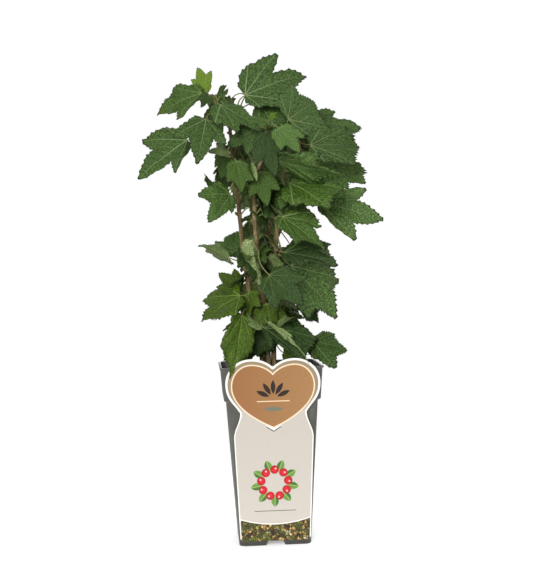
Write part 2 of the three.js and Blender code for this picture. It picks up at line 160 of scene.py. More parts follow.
# %% Bumps from seeded waves
def bumps(points, size, seed, count=14):
    """Uneven heights of about -1 to 1 at these points: the mean of cosine waves about size long, each
    in its own seeded direction."""
    draw = np.random.default_rng(seed)
    ways = draw.normal(size=(count, 3))
    ways *= 2 * np.pi / (size * np.linalg.norm(ways, axis=1, keepdims=True))
    ways *= draw.uniform(0.7, 1.4, (count, 1))
    phases = draw.uniform(0, 2 * np.pi, count)
    return np.cos(points @ ways.T + phases).sum(axis=-1) / np.sqrt(count)


print("bumps at three places:", bumps(np.eye(3) * 10, 8, 1).round(2))

# %% [markdown]
# ## Writing finishes
# A finish is a tree of shader nodes on the Principled BSDF. These short helpers add one node each, so
# that a finish reads as the list of what the eye sees on the real surface. Colours are noted as they
# look on a screen, from 0 to 255, and turned to the linear values that the shader works in.

# %% Helpers for finishes
def tint(red, green, blue):
    """A screen colour as linear light: dark values by a straight line, the rest by a power of 2.4."""
    share = np.array([red, green, blue]) / 255
    linear = np.where(share < 0.04045, share / 12.92, ((share + 0.055) / 1.055) ** 2.4)
    return (*linear.tolist(), 1.0)


def new_finish(name, **sockets):
    """A material whose own sockets hold what is the same all over."""
    finish = bpy.data.materials.new(name)
    finish.use_nodes = True
    shader = finish.node_tree.nodes["Principled BSDF"]
    for socket, value in sockets.items():
        shader.inputs[socket.replace("_", " ").title().replace("Ior", "IOR")].default_value = value
    return finish


def add(finish, kind, inputs, **settings):
    """One node. Its inputs are named or numbered, and each is a value or another node's socket."""
    node = finish.node_tree.nodes.new("ShaderNode" + kind)
    for field, value in settings.items():
        setattr(node, field, value)
    for place, value in inputs.items():
        if isinstance(value, bpy.types.NodeSocket):
            finish.node_tree.links.new(value, node.inputs[place])
        else:
            node.inputs[place].default_value = value
    return node


def calc(finish, operation, *values):
    """Arithmetic on one to three numbers or sockets."""
    return add(finish, "Math", dict(enumerate(values)), operation=operation).outputs[0]


def mix(finish, share, first, second):
    """From one colour to another by a share."""
    inputs = {0: share, 6: first, 7: second}
    return add(finish, "Mix", inputs, data_type="RGBA").outputs[2]


def spread(finish, value, low, high, to_low=0.0, to_high=1.0):
    """A value between low and high carried over to another range, and held at its ends."""
    inputs = {"Value": value, "From Min": low, "From Max": high, "To Min": to_low, "To Max": to_high}
    return add(finish, "MapRange", inputs).outputs[0]

# %% More helpers: patterns, soft steps and relief
def noise(finish, where, scale, detail=3.0, rough=0.55):
    """Soft noise at a place, with about scale blotches to a unit."""
    inputs = {"Vector": where, "Scale": scale, "Detail": detail, "Roughness": rough}
    return add(finish, "TexNoise", inputs).outputs["Fac"]


def stretched(finish, where, scales):
    """A place with its three directions scaled, so that a pattern runs long or short in them."""
    return add(finish, "Mapping", {"Vector": where, "Scale": scales}).outputs[0]


def over(finish, value, limit, blur):
    """1 above a limit and 0 below it, with a soft step of blur to each side."""
    return spread(finish, value, limit - blur, limit + blur)


def under(finish, value, limit, blur):
    """1 below a limit and 0 above it, with the same soft step."""
    return spread(finish, value, limit - blur, limit + blur, 1, 0)


def product(finish, *factors):
    """Several values multiplied. A product of shares is 1 only where all of them are."""
    whole = factors[0]
    for factor in factors[1:]:
        whole = calc(finish, "MULTIPLY", whole, factor)
    return whole


def far_off(finish, x, y):
    """How far the place x, y lies from the origin."""
    squares = calc(finish, "ADD", product(finish, x, x), product(finish, y, y))
    return calc(finish, "SQRT", squares)


def stored(finish, name):
    """A number that the mesh holds for each of its points."""
    return add(finish, "Attribute", {}, attribute_name=name).outputs["Fac"]


def scaled(colour, times):
    """A linear colour made darker or lighter, its parts held at 1."""
    return (*(min(times * part, 1) for part in colour[:3]), 1.0)


def on_object(finish):
    """The place on the piece itself, in metres."""
    return add(finish, "TexCoord", {}).outputs["Object"]


def wear(finish, **sockets):
    """Links what varies over the surface to the shader's sockets."""
    shader = finish.node_tree.nodes["Principled BSDF"]
    for socket, value in sockets.items():
        finish.node_tree.links.new(value, shader.inputs[socket.replace("_", " ").title()])


def raise_by(finish, height, distance, strength=1.0):
    """Small relief: a height from 0 to 1 that stands this many millimetres proud."""
    inputs = {"Height": height, "Distance": distance * MM, "Strength": strength}
    wear(finish, normal=add(finish, "Bump", inputs).outputs[0])


# %% [markdown]
# ## The nursery pot
# It is thin recycled plastic: a square body that widens upward, a wider band above a shoulder and a
# narrow rim. Each foot edge has a notch that lets water out. The outline of one side, carried round
# a square with round corners, gives the whole skin, inside and out. The corners of that outline are
# rounded a little, because moulded plastic has no sharp edge, and the notches and drain holes are cut
# by Boolean modifiers, which is the plain way to cut across a finished skin.

# %% Sizes of the pot, in millimetres
# A notch is wider at the floor than at its top. The middle of a drain hole stands drain_out from the
# pot's axis.
pot_high = 191
foot_half = 38.5
shoulder_high = 155
shoulder_half = 48.5
band_half = 51.5
band_top_half = 54
rim_half = 55.3
rim_high = 2.5
wall = 1.2
floor_high = 7
notch_low_half, notch_top_half, notch_cut = 11, 8, 0.8
notch_high, notch_long, notch_past = 5, 24, 3
drain_radius, drain_out = 5, 24.5
soil_top = 172


def body_half(z):
    """Half the pot's width at a height of its body, which widens evenly."""
    return foot_half + (shoulder_half - foot_half) * z / shoulder_high


def band_half_at(z):
    """The same for the band above the shoulder."""
    return band_half + (band_top_half - band_half) * (z - shoulder_high) / (pot_high - shoulder_high)


# %% Bezier curves
def bezier(control, t):
    """Places on a Bezier curve at the shares t: each pass moves along the lines between neighbours."""
    rows = [np.asarray(place, float) for place in control]
    while len(rows) > 1:
        rows = [(1 - t) * start + t * end for start, end in zip(rows, rows[1:])]
    return rows[0]


def run_of(*curves, step=1.3):
    """Several Bezier curves end to end, as points about a step apart."""
    places = []
    for control in curves:
        long = np.linalg.norm(np.diff(np.array(control, float), axis=0), axis=1).sum()
        shares = np.linspace(0, 1, int(long / step) + 1, endpoint=False)
        places.append(bezier(control, shares[:, None]))
    return np.vstack([*places, [curves[-1][-1]]])


# %% Square rings and rounded outlines
def square_rings(profile, arc_steps=7, side_steps=9):
    """One ring of points for each row of half width, corner radius and height. A point is its corner's
    centre plus the radius in its direction, and along a side the centre slides to the next corner."""
    signs, ways = [], []
    for quarter in range(4):
        turns = np.radians(90 * quarter + np.linspace(0, 90, arc_steps + 1))
        corner = np.array([1 if quarter in (0, 3) else -1, 1 if quarter < 2 else -1])
        following = np.array([-corner[1], corner[0]])
        slide = np.concatenate([np.zeros(arc_steps + 1), np.linspace(0, 1, side_steps + 2)[1:-1]])
        turns = np.concatenate([turns, np.full(side_steps, turns[-1])])
        signs.append(corner + slide[:, None] * (following - corner))
        ways.append(np.stack([np.cos(turns), np.sin(turns)], axis=1))
    sign, way = np.concatenate(signs), np.concatenate(ways)
    half, radius, z = np.asarray(profile, float).T[:, :, None, None]
    flat = sign * (half - radius) + way * radius
    return np.concatenate([flat, np.broadcast_to(z, flat[..., :1].shape)], axis=-1)


def rounded(profile, cut):
    """The profile with each inner corner turned into four points of a small arc, which leaves its two
    edges cut short by the same length."""
    rows = np.asarray(profile, float)
    steps = np.diff(rows, axis=0)
    long = np.linalg.norm(steps[:, [0, 2]], axis=1)[:, None]
    back = rows[1:-1] - steps[:-1] * np.minimum(cut / long[:-1], 0.45)
    on = rows[1:-1] + steps[1:] * np.minimum(cut / long[1:], 0.45)
    bends = [(1 - t) ** 2 * back + 2 * t * (1 - t) * rows[1:-1] + t * t * on for t in (0, 0.33, 0.67, 1)]
    inner = np.stack(bends, axis=1).reshape(-1, 3)
    return np.vstack([rows[:1], inner, rows[-1:]])


def to_axis(profile):
    """Closes a profile with a point on the axis at each end."""
    first, last = profile[0], profile[-1]
    return np.vstack([[0, 0, first[2]], profile, [0, 0, last[2]]])


# %% Finish of the pot: scuffed recycled plastic
def plastic_finish():
    """Dark grey, cloudy where the melt flowed, duller where hands and soil rubbed it, and darkest at
    the foot, where shade under its lower edge is painted on."""
    finish = new_finish("pot_plastic", roughness=0.5, specular_ior_level=0.45)
    place = on_object(finish)
    clouds = noise(finish, place, 22, 5)
    flow = noise(finish, stretched(finish, place, (60, 60, 5)), 3, 4)
    dust = noise(finish, place, 130, 6, 0.7)
    body = mix(finish, spread(finish, clouds, 0.35, 0.7), tint(72, 72, 67), tint(94, 94, 88))
    streaked = mix(finish, spread(finish, flow, 0.5, 0.75, 0, 0.45), body, tint(122, 121, 113))
    dust_and_foot_shade = mix(finish, spread(finish, dust, 0.6, 0.8, 0, 0.35), streaked, tint(141, 134, 119))
    high = add(finish, "SeparateXYZ", {0: place}).outputs[2]
    # Painted shade: from 22 mm down to the foot the grey turns toward near black, standing for the shade
    # under the pot's lower edge.
    dust_and_foot_shade = mix(finish, spread(finish, high, 0.003, 0.022, 0.75, 0), dust_and_foot_shade, tint(40, 38, 34))
    rough = spread(finish, clouds, 0.3, 0.75, 0.38, 0.62)
    wear(finish, base_color=dust_and_foot_shade, roughness=rough)
    grain = calc(finish, "ADD", noise(finish, place, 900, 2), product(finish, flow, 0.8))
    raise_by(finish, grain, 0.12, 0.5)
    return finish


# %% Make the pot
def pot_skin():
    """The pot's closed skin: out along the underside, up the outside, over the rim, down the inside.
    A row of the profile is half the width, the corner's radius and the height."""
    profile = [
        [foot_half - 6, 5, 0],
        [foot_half, 7, 0],
        [shoulder_half, 8, shoulder_high - 1],
        [band_half, 9, shoulder_high + 0.5],
        [band_top_half, 10, pot_high - rim_high],
        [rim_half, 10.5, pot_high - rim_high + 0.3],
        [rim_half, 10.5, pot_high],
        [band_top_half - wall, 8.8, pot_high],
        [band_half - wall, 7.8, shoulder_high + 1.5],
        [shoulder_half - wall, 6.8, shoulder_high],
        [body_half(floor_high) - wall, 5.8, floor_high],
        [foot_half - 8, 4, floor_high],
    ]
    return grid(square_rings(to_axis(rounded(profile, 0.9))), wrap=True, flip=True)


def bar(section, start, end):
    """A cutter: a closed section in X and Z carried from start to end along Y, drawn to a point in the
    middle of each end face."""
    section = np.asarray(section, float)
    middle = section.mean(axis=0)
    rows = []
    for y, corners in ((start, middle), (start, section), (end, section), (end, middle)):
        flat = np.broadcast_to(corners, section.shape)
        rows.append(np.stack([flat[:, 0], np.full(len(flat), y), flat[:, 1]], axis=1))
    return grid(np.stack(rows), wrap=True)


def turned_about_axis(shape, degrees):
    """The shape turned anticlockwise, as seen from above."""
    turn = np.radians(degrees)
    spin = np.array([[np.cos(turn), np.sin(turn), 0], [-np.sin(turn), np.cos(turn), 0], [0, 0, 1]])
    return {**shape, "points": shape["points"] @ spin}


def cut_away(piece, cutter):
    """Takes the cutter's space out of the piece, and removes the cutter."""
    modifier = piece.modifiers.new("cut", "BOOLEAN")
    modifier.object = cutter
    modifier.operation = "DIFFERENCE"
    modifier.solver = "EXACT"
    cut = bpy.data.meshes.new_from_object(piece.evaluated_get(bpy.context.evaluated_depsgraph_get()))
    piece.modifiers.remove(modifier)
    piece.data = cut
    bpy.data.objects.remove(cutter)


plastic = plastic_finish()
pot = add_piece("nursery_pot", pot_skin(), [plastic], ["pot"])
right_corners = [
    [notch_low_half, -1],
    [notch_top_half + notch_cut / 2, notch_high - notch_cut],
    [notch_top_half - notch_cut / 2, notch_high],
]
left_corners = [[-x, z] for x, z in right_corners]
notch_section = [left_corners[0], *right_corners, *left_corners[:0:-1]]
around = np.radians(np.arange(0, 360, 12))
drain_section = np.stack([np.cos(around), np.sin(around)], axis=1) * drain_radius
for side in range(4):
    notch = bar(notch_section, foot_half + notch_past - notch_long, foot_half + notch_past)
    drain = bar(drain_section, -1, 3 * floor_high)
    drain["points"] = drain["points"][:, [0, 2, 1]]
    drain["quads"] = drain["quads"][:, ::-1]
    drain["points"][:, 1] += drain_out
    for kind, shape in (("notch", notch), ("drain", drain)):
        cutter = add_piece(f"{kind}_cutter", turned_about_axis(shape, 90 * side), [])
        cut_away(pot, cutter)
pot.data.set_sharp_from_angle(angle=np.radians(38))
print("pot faces after cutting:", len(pot.data.polygons))

# %% [markdown]
# ## The printed card
# A sheet of coated board leans on the front of the pot. It is die-cut in one outline, a tapered shield
# with a neck and a heart, and a tongue goes over the rim. The print is flat, so it belongs to the
# finish and not to the mesh. What the mesh gives is exact distances: each point of the sheet knows how
# far it is from the cut edge and from the printed heart, and the finish compares those distances with
# sizes in millimetres, which draws clean lines. The motifs are plain ones, a ring of berries and
# leaves, and a fan of leaves, each drawn once in a sector that repeats round a centre.

# %% Sizes of the card
card_foot, card_thick, card_trim = 4, 0.6, 1.4
card_foot_half, card_shoulder_half, card_neck_half = 37.5, 42, 35
card_shoulder, card_neck = 117, 140
heart_half, heart_widest, lobe_half, heart_top, heart_dip = 50, 171, 23, 197, 188
heart_point, heart_inset = 124.4, 7
card_columns, card_bow = 57, 0.9
tongue_half = 18
clear = 0.3
map_unit = 100
card_lean = np.arctan((rim_half - foot_half) / (pot_high - card_foot))


def cut_edge():
    """The right half of the cut edge, from the middle of the foot up to the dip of the heart."""
    below = card_shoulder - 4
    return run_of(
        [[0, card_trim], [card_foot_half - 4, card_trim]],
        [[card_foot_half - 4, card_trim], [card_foot_half, card_trim], [card_foot_half, card_trim + 4]],
        [[card_foot_half, card_trim + 4], [card_shoulder_half, below]],
        [[card_shoulder_half, below], [card_shoulder_half, card_shoulder + 6],
         [card_neck_half, card_neck - 10], [card_neck_half, card_neck]],
        [[card_neck_half, card_neck], [card_neck_half + 6, card_neck + 10],
         [heart_half, heart_widest - 16], [heart_half, heart_widest]],
        [[heart_half, heart_widest], [heart_half, heart_top - 10],
         [lobe_half + 14, heart_top], [lobe_half, heart_top]],
        [[lobe_half, heart_top], [lobe_half - 10, heart_top], [5, heart_dip + 5], [0, heart_dip]])


def printed_heart():
    """The right half of the printed heart, from its point up to its dip, inside the cut edge."""
    wide, top, widest = heart_half - heart_inset, heart_top - heart_inset, heart_widest - 3
    dip = heart_dip - heart_inset - 1.5
    return run_of(
        [[0, heart_point], [14, heart_point + 6], [wide, widest - 22], [wide, widest]],
        [[wide, widest], [wide, top - 9], [lobe_half + 11, top], [lobe_half, top]],
        [[lobe_half, top], [lobe_half - 11, top], [4, dip + 5], [0, dip]])


def off_line(places, line):
    """Distance of each place to the nearest stretch of a line."""
    start, way = line[:-1], np.diff(line, axis=0)
    gap = places[..., None, :] - start
    share = np.clip((gap * way).sum(axis=-1) / (way**2).sum(axis=-1), 0, 1)
    return np.linalg.norm(gap - share[..., None] * way, axis=-1).min(axis=-1)


def inside_half(places, line):
    """True where a ray to the right from a place crosses the right half of an outline once."""
    x, y = places[..., :1], places[..., 1:]
    (x1, y1), (x2, y2) = line[:-1].T, line[1:].T
    rises = np.where(y2 == y1, 1, y2 - y1)
    crossed = ((y1 > y) != (y2 > y)) & (x < x1 + (y - y1) / rises * (x2 - x1))
    return crossed.sum(axis=-1) % 2 == 1


# %% Shape of the card
def on_card(u, v, w):
    """Across, up and out from the sheet's back, as a place: the sheet leans back by card_lean."""
    y = -foot_half - 2 * clear - v * np.sin(card_lean) - w * np.cos(card_lean)
    z = card_foot + v * np.cos(card_lean) - w * np.sin(card_lean)
    return np.stack([u, y, z], axis=-1)


def card_sheet():
    """Front and back as grids, closed by two strips along the cut edge. Each row runs from the left
    edge to the middle line and on to the right edge, and the rows follow the edge from foot to dip.
    They meet the middle line between 12 mm and the heart's widest height, so that none of them crosses
    another. The sides bow out a little."""
    edge_line = cut_edge()
    middle = np.clip(edge_line[:, 1:], 12, heart_widest + 1)
    share = np.sin(np.linspace(-np.pi / 2, np.pi / 2, card_columns))
    u = edge_line[:, :1] * share
    v = middle + (edge_line[:, 1:] - middle) * np.abs(share)
    half_place = np.stack([np.abs(u), v], axis=-1)
    rim = off_line(half_place, edge_line)
    heart_line = printed_heart()
    heart = off_line(half_place, heart_line) * np.where(inside_half(half_place, heart_line), 1, -1)
    bow = card_bow * (u / heart_half) ** 2 * np.clip(v / 60, 0, 1)
    front, back = on_card(u, v, bow + card_thick), on_card(u, v, bow)
    strips = []
    for at in (0, -1):
        strips.append((np.stack([front[:, at], back[:, at]], axis=1), [at, at], at == -1, 1))
    shapes = []
    whole = [*range(len(share))]
    for places, columns, flip, number in [(front, whole, True, 0), (back, whole, False, 1), *strips]:
        shape = grid(places, flip=flip)
        flat = np.stack([u[:, columns], v[:, columns]], axis=-1).reshape(-1, 2) / map_unit
        shape["map_print"] = flat[shape["quads"]]
        shape["value_rim"] = rim[:, columns].ravel()
        shape["value_heart"] = heart[:, columns].ravel()
        shape["finish"] = np.full(len(shape["quads"]), number)
        shapes.append(shape)
    return joined(shapes)


def tongue():
    """A strap of board: a flat section carried over the rim and down inside the pot."""
    inside = -band_half_at(soil_top) + wall + clear + 0.4
    top = pot_high + clear + 0.4
    line = run_of([[-rim_half - 0.8, top], [inside - 2, top]],
                  [[inside - 2, top], [inside, top], [inside, top - 2]],
                  [[inside, top - 2], [inside, soil_top + 2]], step=0.7)
    along = np.gradient(line, axis=0)
    across = np.stack([-along[:, 1], along[:, 0]], axis=1)
    across *= 0.5 * card_thick / np.linalg.norm(across, axis=1, keepdims=True)
    rows = []
    for x, side in ((-tongue_half, -1), (tongue_half, -1), (tongue_half, 1), (-tongue_half, 1)):
        rows.append(np.column_stack([np.full(len(line), x), line + side * across]))
    ring = np.stack(rows, axis=1)
    ends = [np.broadcast_to(ring[at].mean(axis=0), ring[:1].shape) for at in (0, -1)]
    return grid(np.concatenate([ends[0], ring, ends[1]]), wrap=True)


# %% Shapes of the print
def sector(finish, u, v, centre, count, turn=0.0):
    """A place measured in one of count equal sectors round a centre: how far out along the sector's
    middle line, and how far beside it."""
    x, y = calc(finish, "SUBTRACT", u, centre[0]), calc(finish, "SUBTRACT", v, centre[1])
    far = far_off(finish, x, y)
    angle = calc(finish, "ADD", calc(finish, "ARCTAN2", x, y), turn)
    near = calc(finish, "WRAP", angle, np.pi / count, -np.pi / count)
    out = product(finish, far, calc(finish, "COSINE", near))
    beside = product(finish, far, calc(finish, "SINE", near))
    return out, beside


def disc(finish, out, beside, at, radius, blur=0.35):
    """1 inside a round spot whose middle lies at a distance out along the sector, and 0 outside."""
    x = calc(finish, "SUBTRACT", out, at[0])
    y = calc(finish, "SUBTRACT", beside, at[1])
    return under(finish, far_off(finish, x, y), radius, blur)


def blade_spot(finish, out, beside, at, long, wide):
    """1 inside a pointed leaf: its half width falls from the middle by the square of the way along."""
    along = calc(finish, "DIVIDE", calc(finish, "SUBTRACT", out, at), long / 2)
    across = calc(finish, "DIVIDE", calc(finish, "ABSOLUTE", beside), wide / 2)
    filled = calc(finish, "ADD", product(finish, along, along), across)
    return under(finish, filled, 0.99, 0.07)


def band_of(finish, value, low, high, blur=0.25):
    """1 where a value lies between low and high."""
    return product(finish, over(finish, value, low, blur), under(finish, value, high, blur))


# %% Sizes of the print, in millimetres
moss_high, moss_sag, moss_line = 19, 0.0045, 1
rule_low, rule_high, rule_half = 33.6, 34.3, 22
ring_middle, ring_count = (0, 64), 9
ring_leaf = {"at": 19.5, "long": 13, "wide": 8}
berry_out, berry_radius = 14.5, 4.6
margin_wide, pale_line = 4.9, 1.3
slit_low, slit_high, slit_slope, slit_half = 119.2, 120.3, 0.66, 7.7
board_low, board_high, board_half = 120.1, 131.5, 8
fan_middle, fan_count, fan_floor = (0, 155), 11, 156.5
fan_leaf = {"at": 12, "long": 15, "wide": 5}
stroke_low, stroke_high, stroke_half = 151.4, 152.4, 17.3
lozenge_middle = 143.5
lozenge = {"at": 0, "long": 22, "wide": 5}

# %% Finish of the card: the print
def with_moss(finish, colour, own, u, v):
    """The foot band: cells in the colours of moss and gravel, below a sagging white line."""
    sag = product(finish, u, u, moss_sag)
    height = calc(finish, "SUBTRACT", calc(finish, "SUBTRACT", v, sag), moss_high)
    cells = add(finish, "TexVoronoi", {"Vector": own, "Scale": 37.0})
    gaps = add(finish, "TexVoronoi", {"Vector": own, "Scale": 37.0}, feature="DISTANCE_TO_EDGE")
    shade = add(finish, "SeparateColor", {0: cells.outputs["Color"]}).outputs
    moss = mix(finish, spread(finish, shade[0], 0.2, 0.6), tint(50, 38, 18), tint(118, 94, 44))
    moss = mix(finish, spread(finish, shade[0], 0.62, 0.85), moss, tint(204, 168, 96))
    moss = mix(finish, spread(finish, shade[1], 0.9, 0.95, 0, 0.8), moss, tint(228, 214, 178))
    patch = spread(finish, noise(finish, own, 9, 3), 0.47, 0.57, 0, 0.8)
    moss = mix(finish, patch, moss, mix(finish, shade[1], tint(56, 74, 22), tint(142, 156, 62)))
    crack = spread(finish, gaps.outputs["Distance"], 0.03, 0.22, 0.9, 0)
    hollow = spread(finish, noise(finish, own, 26, 3), 0.55, 0.68, 0, 0.8)
    moss = mix(finish, calc(finish, "MAXIMUM", crack, hollow), moss, tint(30, 26, 14))
    colour = mix(finish, under(finish, height, 0, 0.3), colour, moss)
    return mix(finish, band_of(finish, height, 0, moss_line), colour, tint(238, 234, 224))


def with_ring(finish, colour, u, v):
    """A thin plain rule above the band, and a ring of berries with a ribbed leaf between each two."""
    rule = product(finish, band_of(finish, v, rule_low, rule_high, 0.1),
                   under(finish, calc(finish, "ABSOLUTE", u), rule_half, 0.3))
    colour = mix(finish, rule, colour, tint(74, 82, 60))
    out, beside = sector(finish, u, v, ring_middle, ring_count, np.pi / ring_count)
    leaf = blade_spot(finish, out, beside, **ring_leaf)
    rib = product(finish, leaf, under(finish, calc(finish, "ABSOLUTE", beside), 0.35, 0.15))
    green = mix(finish, over(finish, beside, 0, 2.5), tint(58, 104, 42), tint(104, 146, 62))
    colour = mix(finish, leaf, colour, green)
    colour = mix(finish, rib, colour, tint(160, 186, 104))
    out, beside = sector(finish, u, v, ring_middle, ring_count)
    red = mix(finish, disc(finish, out, beside, (14, 0), 2.6, 2.4), tint(150, 14, 28), tint(222, 34, 48))
    colour = mix(finish, disc(finish, out, beside, (berry_out, 0), berry_radius), colour, red)
    return mix(finish, disc(finish, out, beside, (15.6, 1.2), 0.9, 0.5), colour, tint(246, 190, 186))


def with_heart(finish, colour, own, u, v, heart):
    """The margin round the heart and the heart itself with its pale line. Below its point plain board
    shows over a slit that rises to both sides, drawn as a dark line of painted shade in its gap."""
    margin = product(finish, over(finish, heart, -margin_wide, 0.3), spread(finish, v, 141, 150))
    colour = mix(finish, margin, colour, tint(150, 132, 106))
    warm = mix(finish, over(finish, u, 0, 40), tint(152, 104, 64), tint(163, 124, 80))
    blotch = spread(finish, noise(finish, own, 30, 4), 0.3, 0.7, 0, 0.25)
    face = mix(finish, blotch, warm, tint(146, 100, 64))
    colour = mix(finish, over(finish, heart, 0, 0.2), colour, face)
    colour = mix(finish, band_of(finish, heart, -pale_line, 0.1), colour, tint(236, 214, 184))
    sideways = calc(finish, "ABSOLUTE", u)
    risen = calc(finish, "SUBTRACT", v, product(finish, sideways, slit_slope))
    plain = product(finish, over(finish, risen, board_low, 0.2), under(finish, heart, -1.35, 0.15),
                    under(finish, sideways, board_half, 0.4), under(finish, v, board_high, 0.5))
    colour = mix(finish, plain, colour, tint(236, 233, 226))
    # Painted shade: the slit is no cut in the sheet but a near-black line in the print, standing for the
    # shade in its gap.
    painted_slit_shade = product(finish, band_of(finish, risen, slit_low, slit_high),
                   under(finish, sideways, slit_half, 0.3))
    return mix(finish, painted_slit_shade, colour, tint(34, 32, 30))


def with_fan(finish, colour, u, v):
    """The fan of leaves in the heart, over a pale rule and a flat lozenge."""
    out, beside = sector(finish, u, v, fan_middle, fan_count)
    fan = product(finish, blade_spot(finish, out, beside, **fan_leaf), over(finish, v, fan_floor, 0.5))
    colour = mix(finish, fan, colour, tint(46, 36, 32))
    stroke = product(finish, band_of(finish, v, stroke_low, stroke_high, 0.15),
                     under(finish, calc(finish, "ABSOLUTE", u), stroke_half, 0.3))
    colour = mix(finish, stroke, colour, tint(236, 208, 172))
    spot = blade_spot(finish, u, calc(finish, "SUBTRACT", v, lozenge_middle), **lozenge)
    return mix(finish, spot, colour, tint(112, 116, 98))


def with_border(finish, colour, v, rim):
    """The unprinted border along the cut edge: narrow, wider round the heart, and missing at the foot,
    where the band bleeds off."""
    wide = spread(finish, v, 128, 150, 1.1, 2.2)
    border = under(finish, calc(finish, "SUBTRACT", rim, wide), 0, 0.2)
    return mix(finish, product(finish, border, over(finish, v, 4, 1)), colour, tint(240, 238, 233))


def print_finish():
    """Coated board with its print, laid on in order: panel, foot band, ring, heart, fan and border."""
    finish = new_finish("card_print", roughness=0.36, specular_ior_level=0.35)
    own = add(finish, "UVMap", {}, uv_map="print").outputs[0]
    parts = add(finish, "SeparateXYZ", {0: own}).outputs
    u, v = (product(finish, parts[at], map_unit) for at in (0, 1))
    pulp = noise(finish, own, 60, 4)
    colour = mix(finish, pulp, tint(186, 179, 169), tint(197, 190, 180))
    colour = with_moss(finish, colour, own, u, v)
    colour = with_ring(finish, colour, u, v)
    colour = with_heart(finish, colour, own, u, v, stored(finish, "heart"))
    colour = with_fan(finish, colour, u, v)
    wear(finish, base_color=with_border(finish, colour, v, stored(finish, "rim")))
    raise_by(finish, pulp, 0.05, 0.3)
    return finish

# %% Make the card
board = new_finish("card_board", base_color=tint(226, 222, 212), roughness=0.7)
add_piece("label_card_sheet", card_sheet(), [print_finish(), board], ["label_card"], sharp=0.7)
add_piece("label_card_tongue", tongue(), [board], sharp=0.7)

# %% [markdown]
# ## The potting soil
# Peat with bark crumbs fills the pot to a finger below the rim. Only its top shows, between the leaves,
# but it is one closed block as in the part. Its top is a field of bumps of two sizes that swells a
# little round the stem, and loose crumbs of a few faces each are strewn on it.

# %% Make the soil
crumb_count, crumb_reach, crumb_seed = 420, 46, 11


def peat_finish():
    """Dark moist peat with paler fibres and crumbs."""
    finish = new_finish("potting_soil", roughness=0.95, specular_ior_level=0.2)
    place = on_object(finish)
    lumps = noise(finish, place, 160, 6, 0.65)
    crumbs = add(finish, "TexVoronoi", {"Vector": place, "Scale": 420}).outputs["Color"]
    dark = mix(finish, spread(finish, lumps, 0.35, 0.7), tint(38, 27, 20), tint(84, 62, 44))
    fleck = spread(finish, crumbs, 0.8, 0.95, 0, 0.5)
    wear(finish, base_color=mix(finish, fleck, dark, tint(132, 106, 76)))
    raise_by(finish, lumps, 1.5, 0.8)
    return finish


def soil_block():
    """The block fills the pot's inside. Its upper rows cross the top from the wall to the middle."""
    inner = wall + 0.4
    sides = [
        [body_half(floor_high) - inner, 5.5, floor_high + 0.3],
        [shoulder_half - inner, 6.5, shoulder_high],
        [band_half - inner - 0.2, 7.5, shoulder_high + 3],
        [band_half_at(soil_top) - inner - 0.4, 8.5, soil_top - 3],
    ]
    wide = sides[-1][0]
    top = [[wide * share, 8.5 * share, soil_top - 1.4] for share in np.linspace(0.97, 0.03, 34)]
    rings = square_rings(to_axis(np.vstack([sides, top])), 5, 14)
    uneven = 1.1 * bumps(rings, 14, 3) + 0.7 * bumps(rings, 5, 4)
    reach = np.linalg.norm(rings[..., :2], axis=-1)
    swell = 1.6 * np.exp(-((reach / 16) ** 2))
    rings[..., 2] += np.where(rings[..., 2] > soil_top - 2, uneven + swell, 0)
    return grid(rings, wrap=True, flip=True)


def crumb_shapes(count, seed):
    """Loose crumbs: small uneven balls, each a grid of 4 by 6 faces, half sunk in the soil's top."""
    draw = np.random.default_rng(seed)
    rise, turn = np.meshgrid(np.linspace(0, np.pi, 5), np.arange(6) * np.pi / 3, indexing="ij")
    ball = np.stack([np.sin(rise) * np.cos(turn), np.sin(rise) * np.sin(turn), -np.cos(rise)], axis=-1)
    shapes = []
    for _ in range(count):
        x, y = draw.uniform(-crumb_reach, crumb_reach, 2)
        size = draw.uniform(0.7, 2.1) * np.array([1, draw.uniform(0.6, 1), draw.uniform(0.45, 0.8)])
        place = np.array([x, y, soil_top - 0.9 + draw.uniform(-0.2, 0.8)])
        uneven = 1 + 0.25 * draw.uniform(-1, 1, (5, 6, 1))
        uneven[[0, -1]] = 1
        shapes.append(grid(ball * uneven * size + place, wrap=True, flip=True))
    return joined(shapes)


peat = peat_finish()
add_piece("potting_soil", soil_block(), [peat], ["soil"])
add_piece("soil_crumbs", crumb_shapes(crumb_count, crumb_seed), [peat])

# %% [markdown]
# ## Curves and limbs
# Every woody part is a limb: round sections carried along a curve. The curve is the source's own, a
# centripetal Catmull-Rom line through a few places, which passes through each place without
# overshooting. The sections turn as little as possible from one to the next, so bark does not twist.

# %% Curves through places, and limbs along them
def evenly(line, steps):
    """The line again as steps + 1 points at even distances along it."""
    far = np.concatenate([[0], np.cumsum(np.linalg.norm(np.diff(line, axis=0), axis=1))])
    wanted = np.linspace(0, far[-1], steps + 1)
    return np.stack([np.interp(wanted, far, line[:, axis]) for axis in range(3)], axis=1)


def smooth_line(places, steps):
    """A centripetal Catmull-Rom curve: cubic between each two places, its knots spaced by the square
    root of their distance, and its slope at each place taken from the neighbours."""
    places = np.asarray(places, float)
    line = np.vstack([2 * places[0] - places[1], places, 2 * places[-1] - places[-2]])
    knots = np.sqrt(np.linalg.norm(np.diff(line, axis=0), axis=1))[:, None]
    before, start, end, after = line[:-3], line[1:-2], line[2:-1], line[3:]
    gap0, gap1, gap2 = knots[:-2], knots[1:-1], knots[2:]
    leave = gap1 * ((start - before) / gap0 - (end - before) / (gap0 + gap1) + (end - start) / gap1)
    arrive = gap1 * ((end - start) / gap1 - (after - start) / (gap1 + gap2) + (after - end) / gap2)
    t = np.linspace(0, 1, 40, endpoint=False)[:, None, None]
    square = (3 * (end - start) - 2 * leave - arrive) * t**2
    cubic = (2 * (start - end) + leave + arrive) * t**3
    dense = (start + leave * t + square + cubic).transpose(1, 0, 2).reshape(-1, 3)
    return evenly(np.vstack([dense, places[-1:]]), steps)


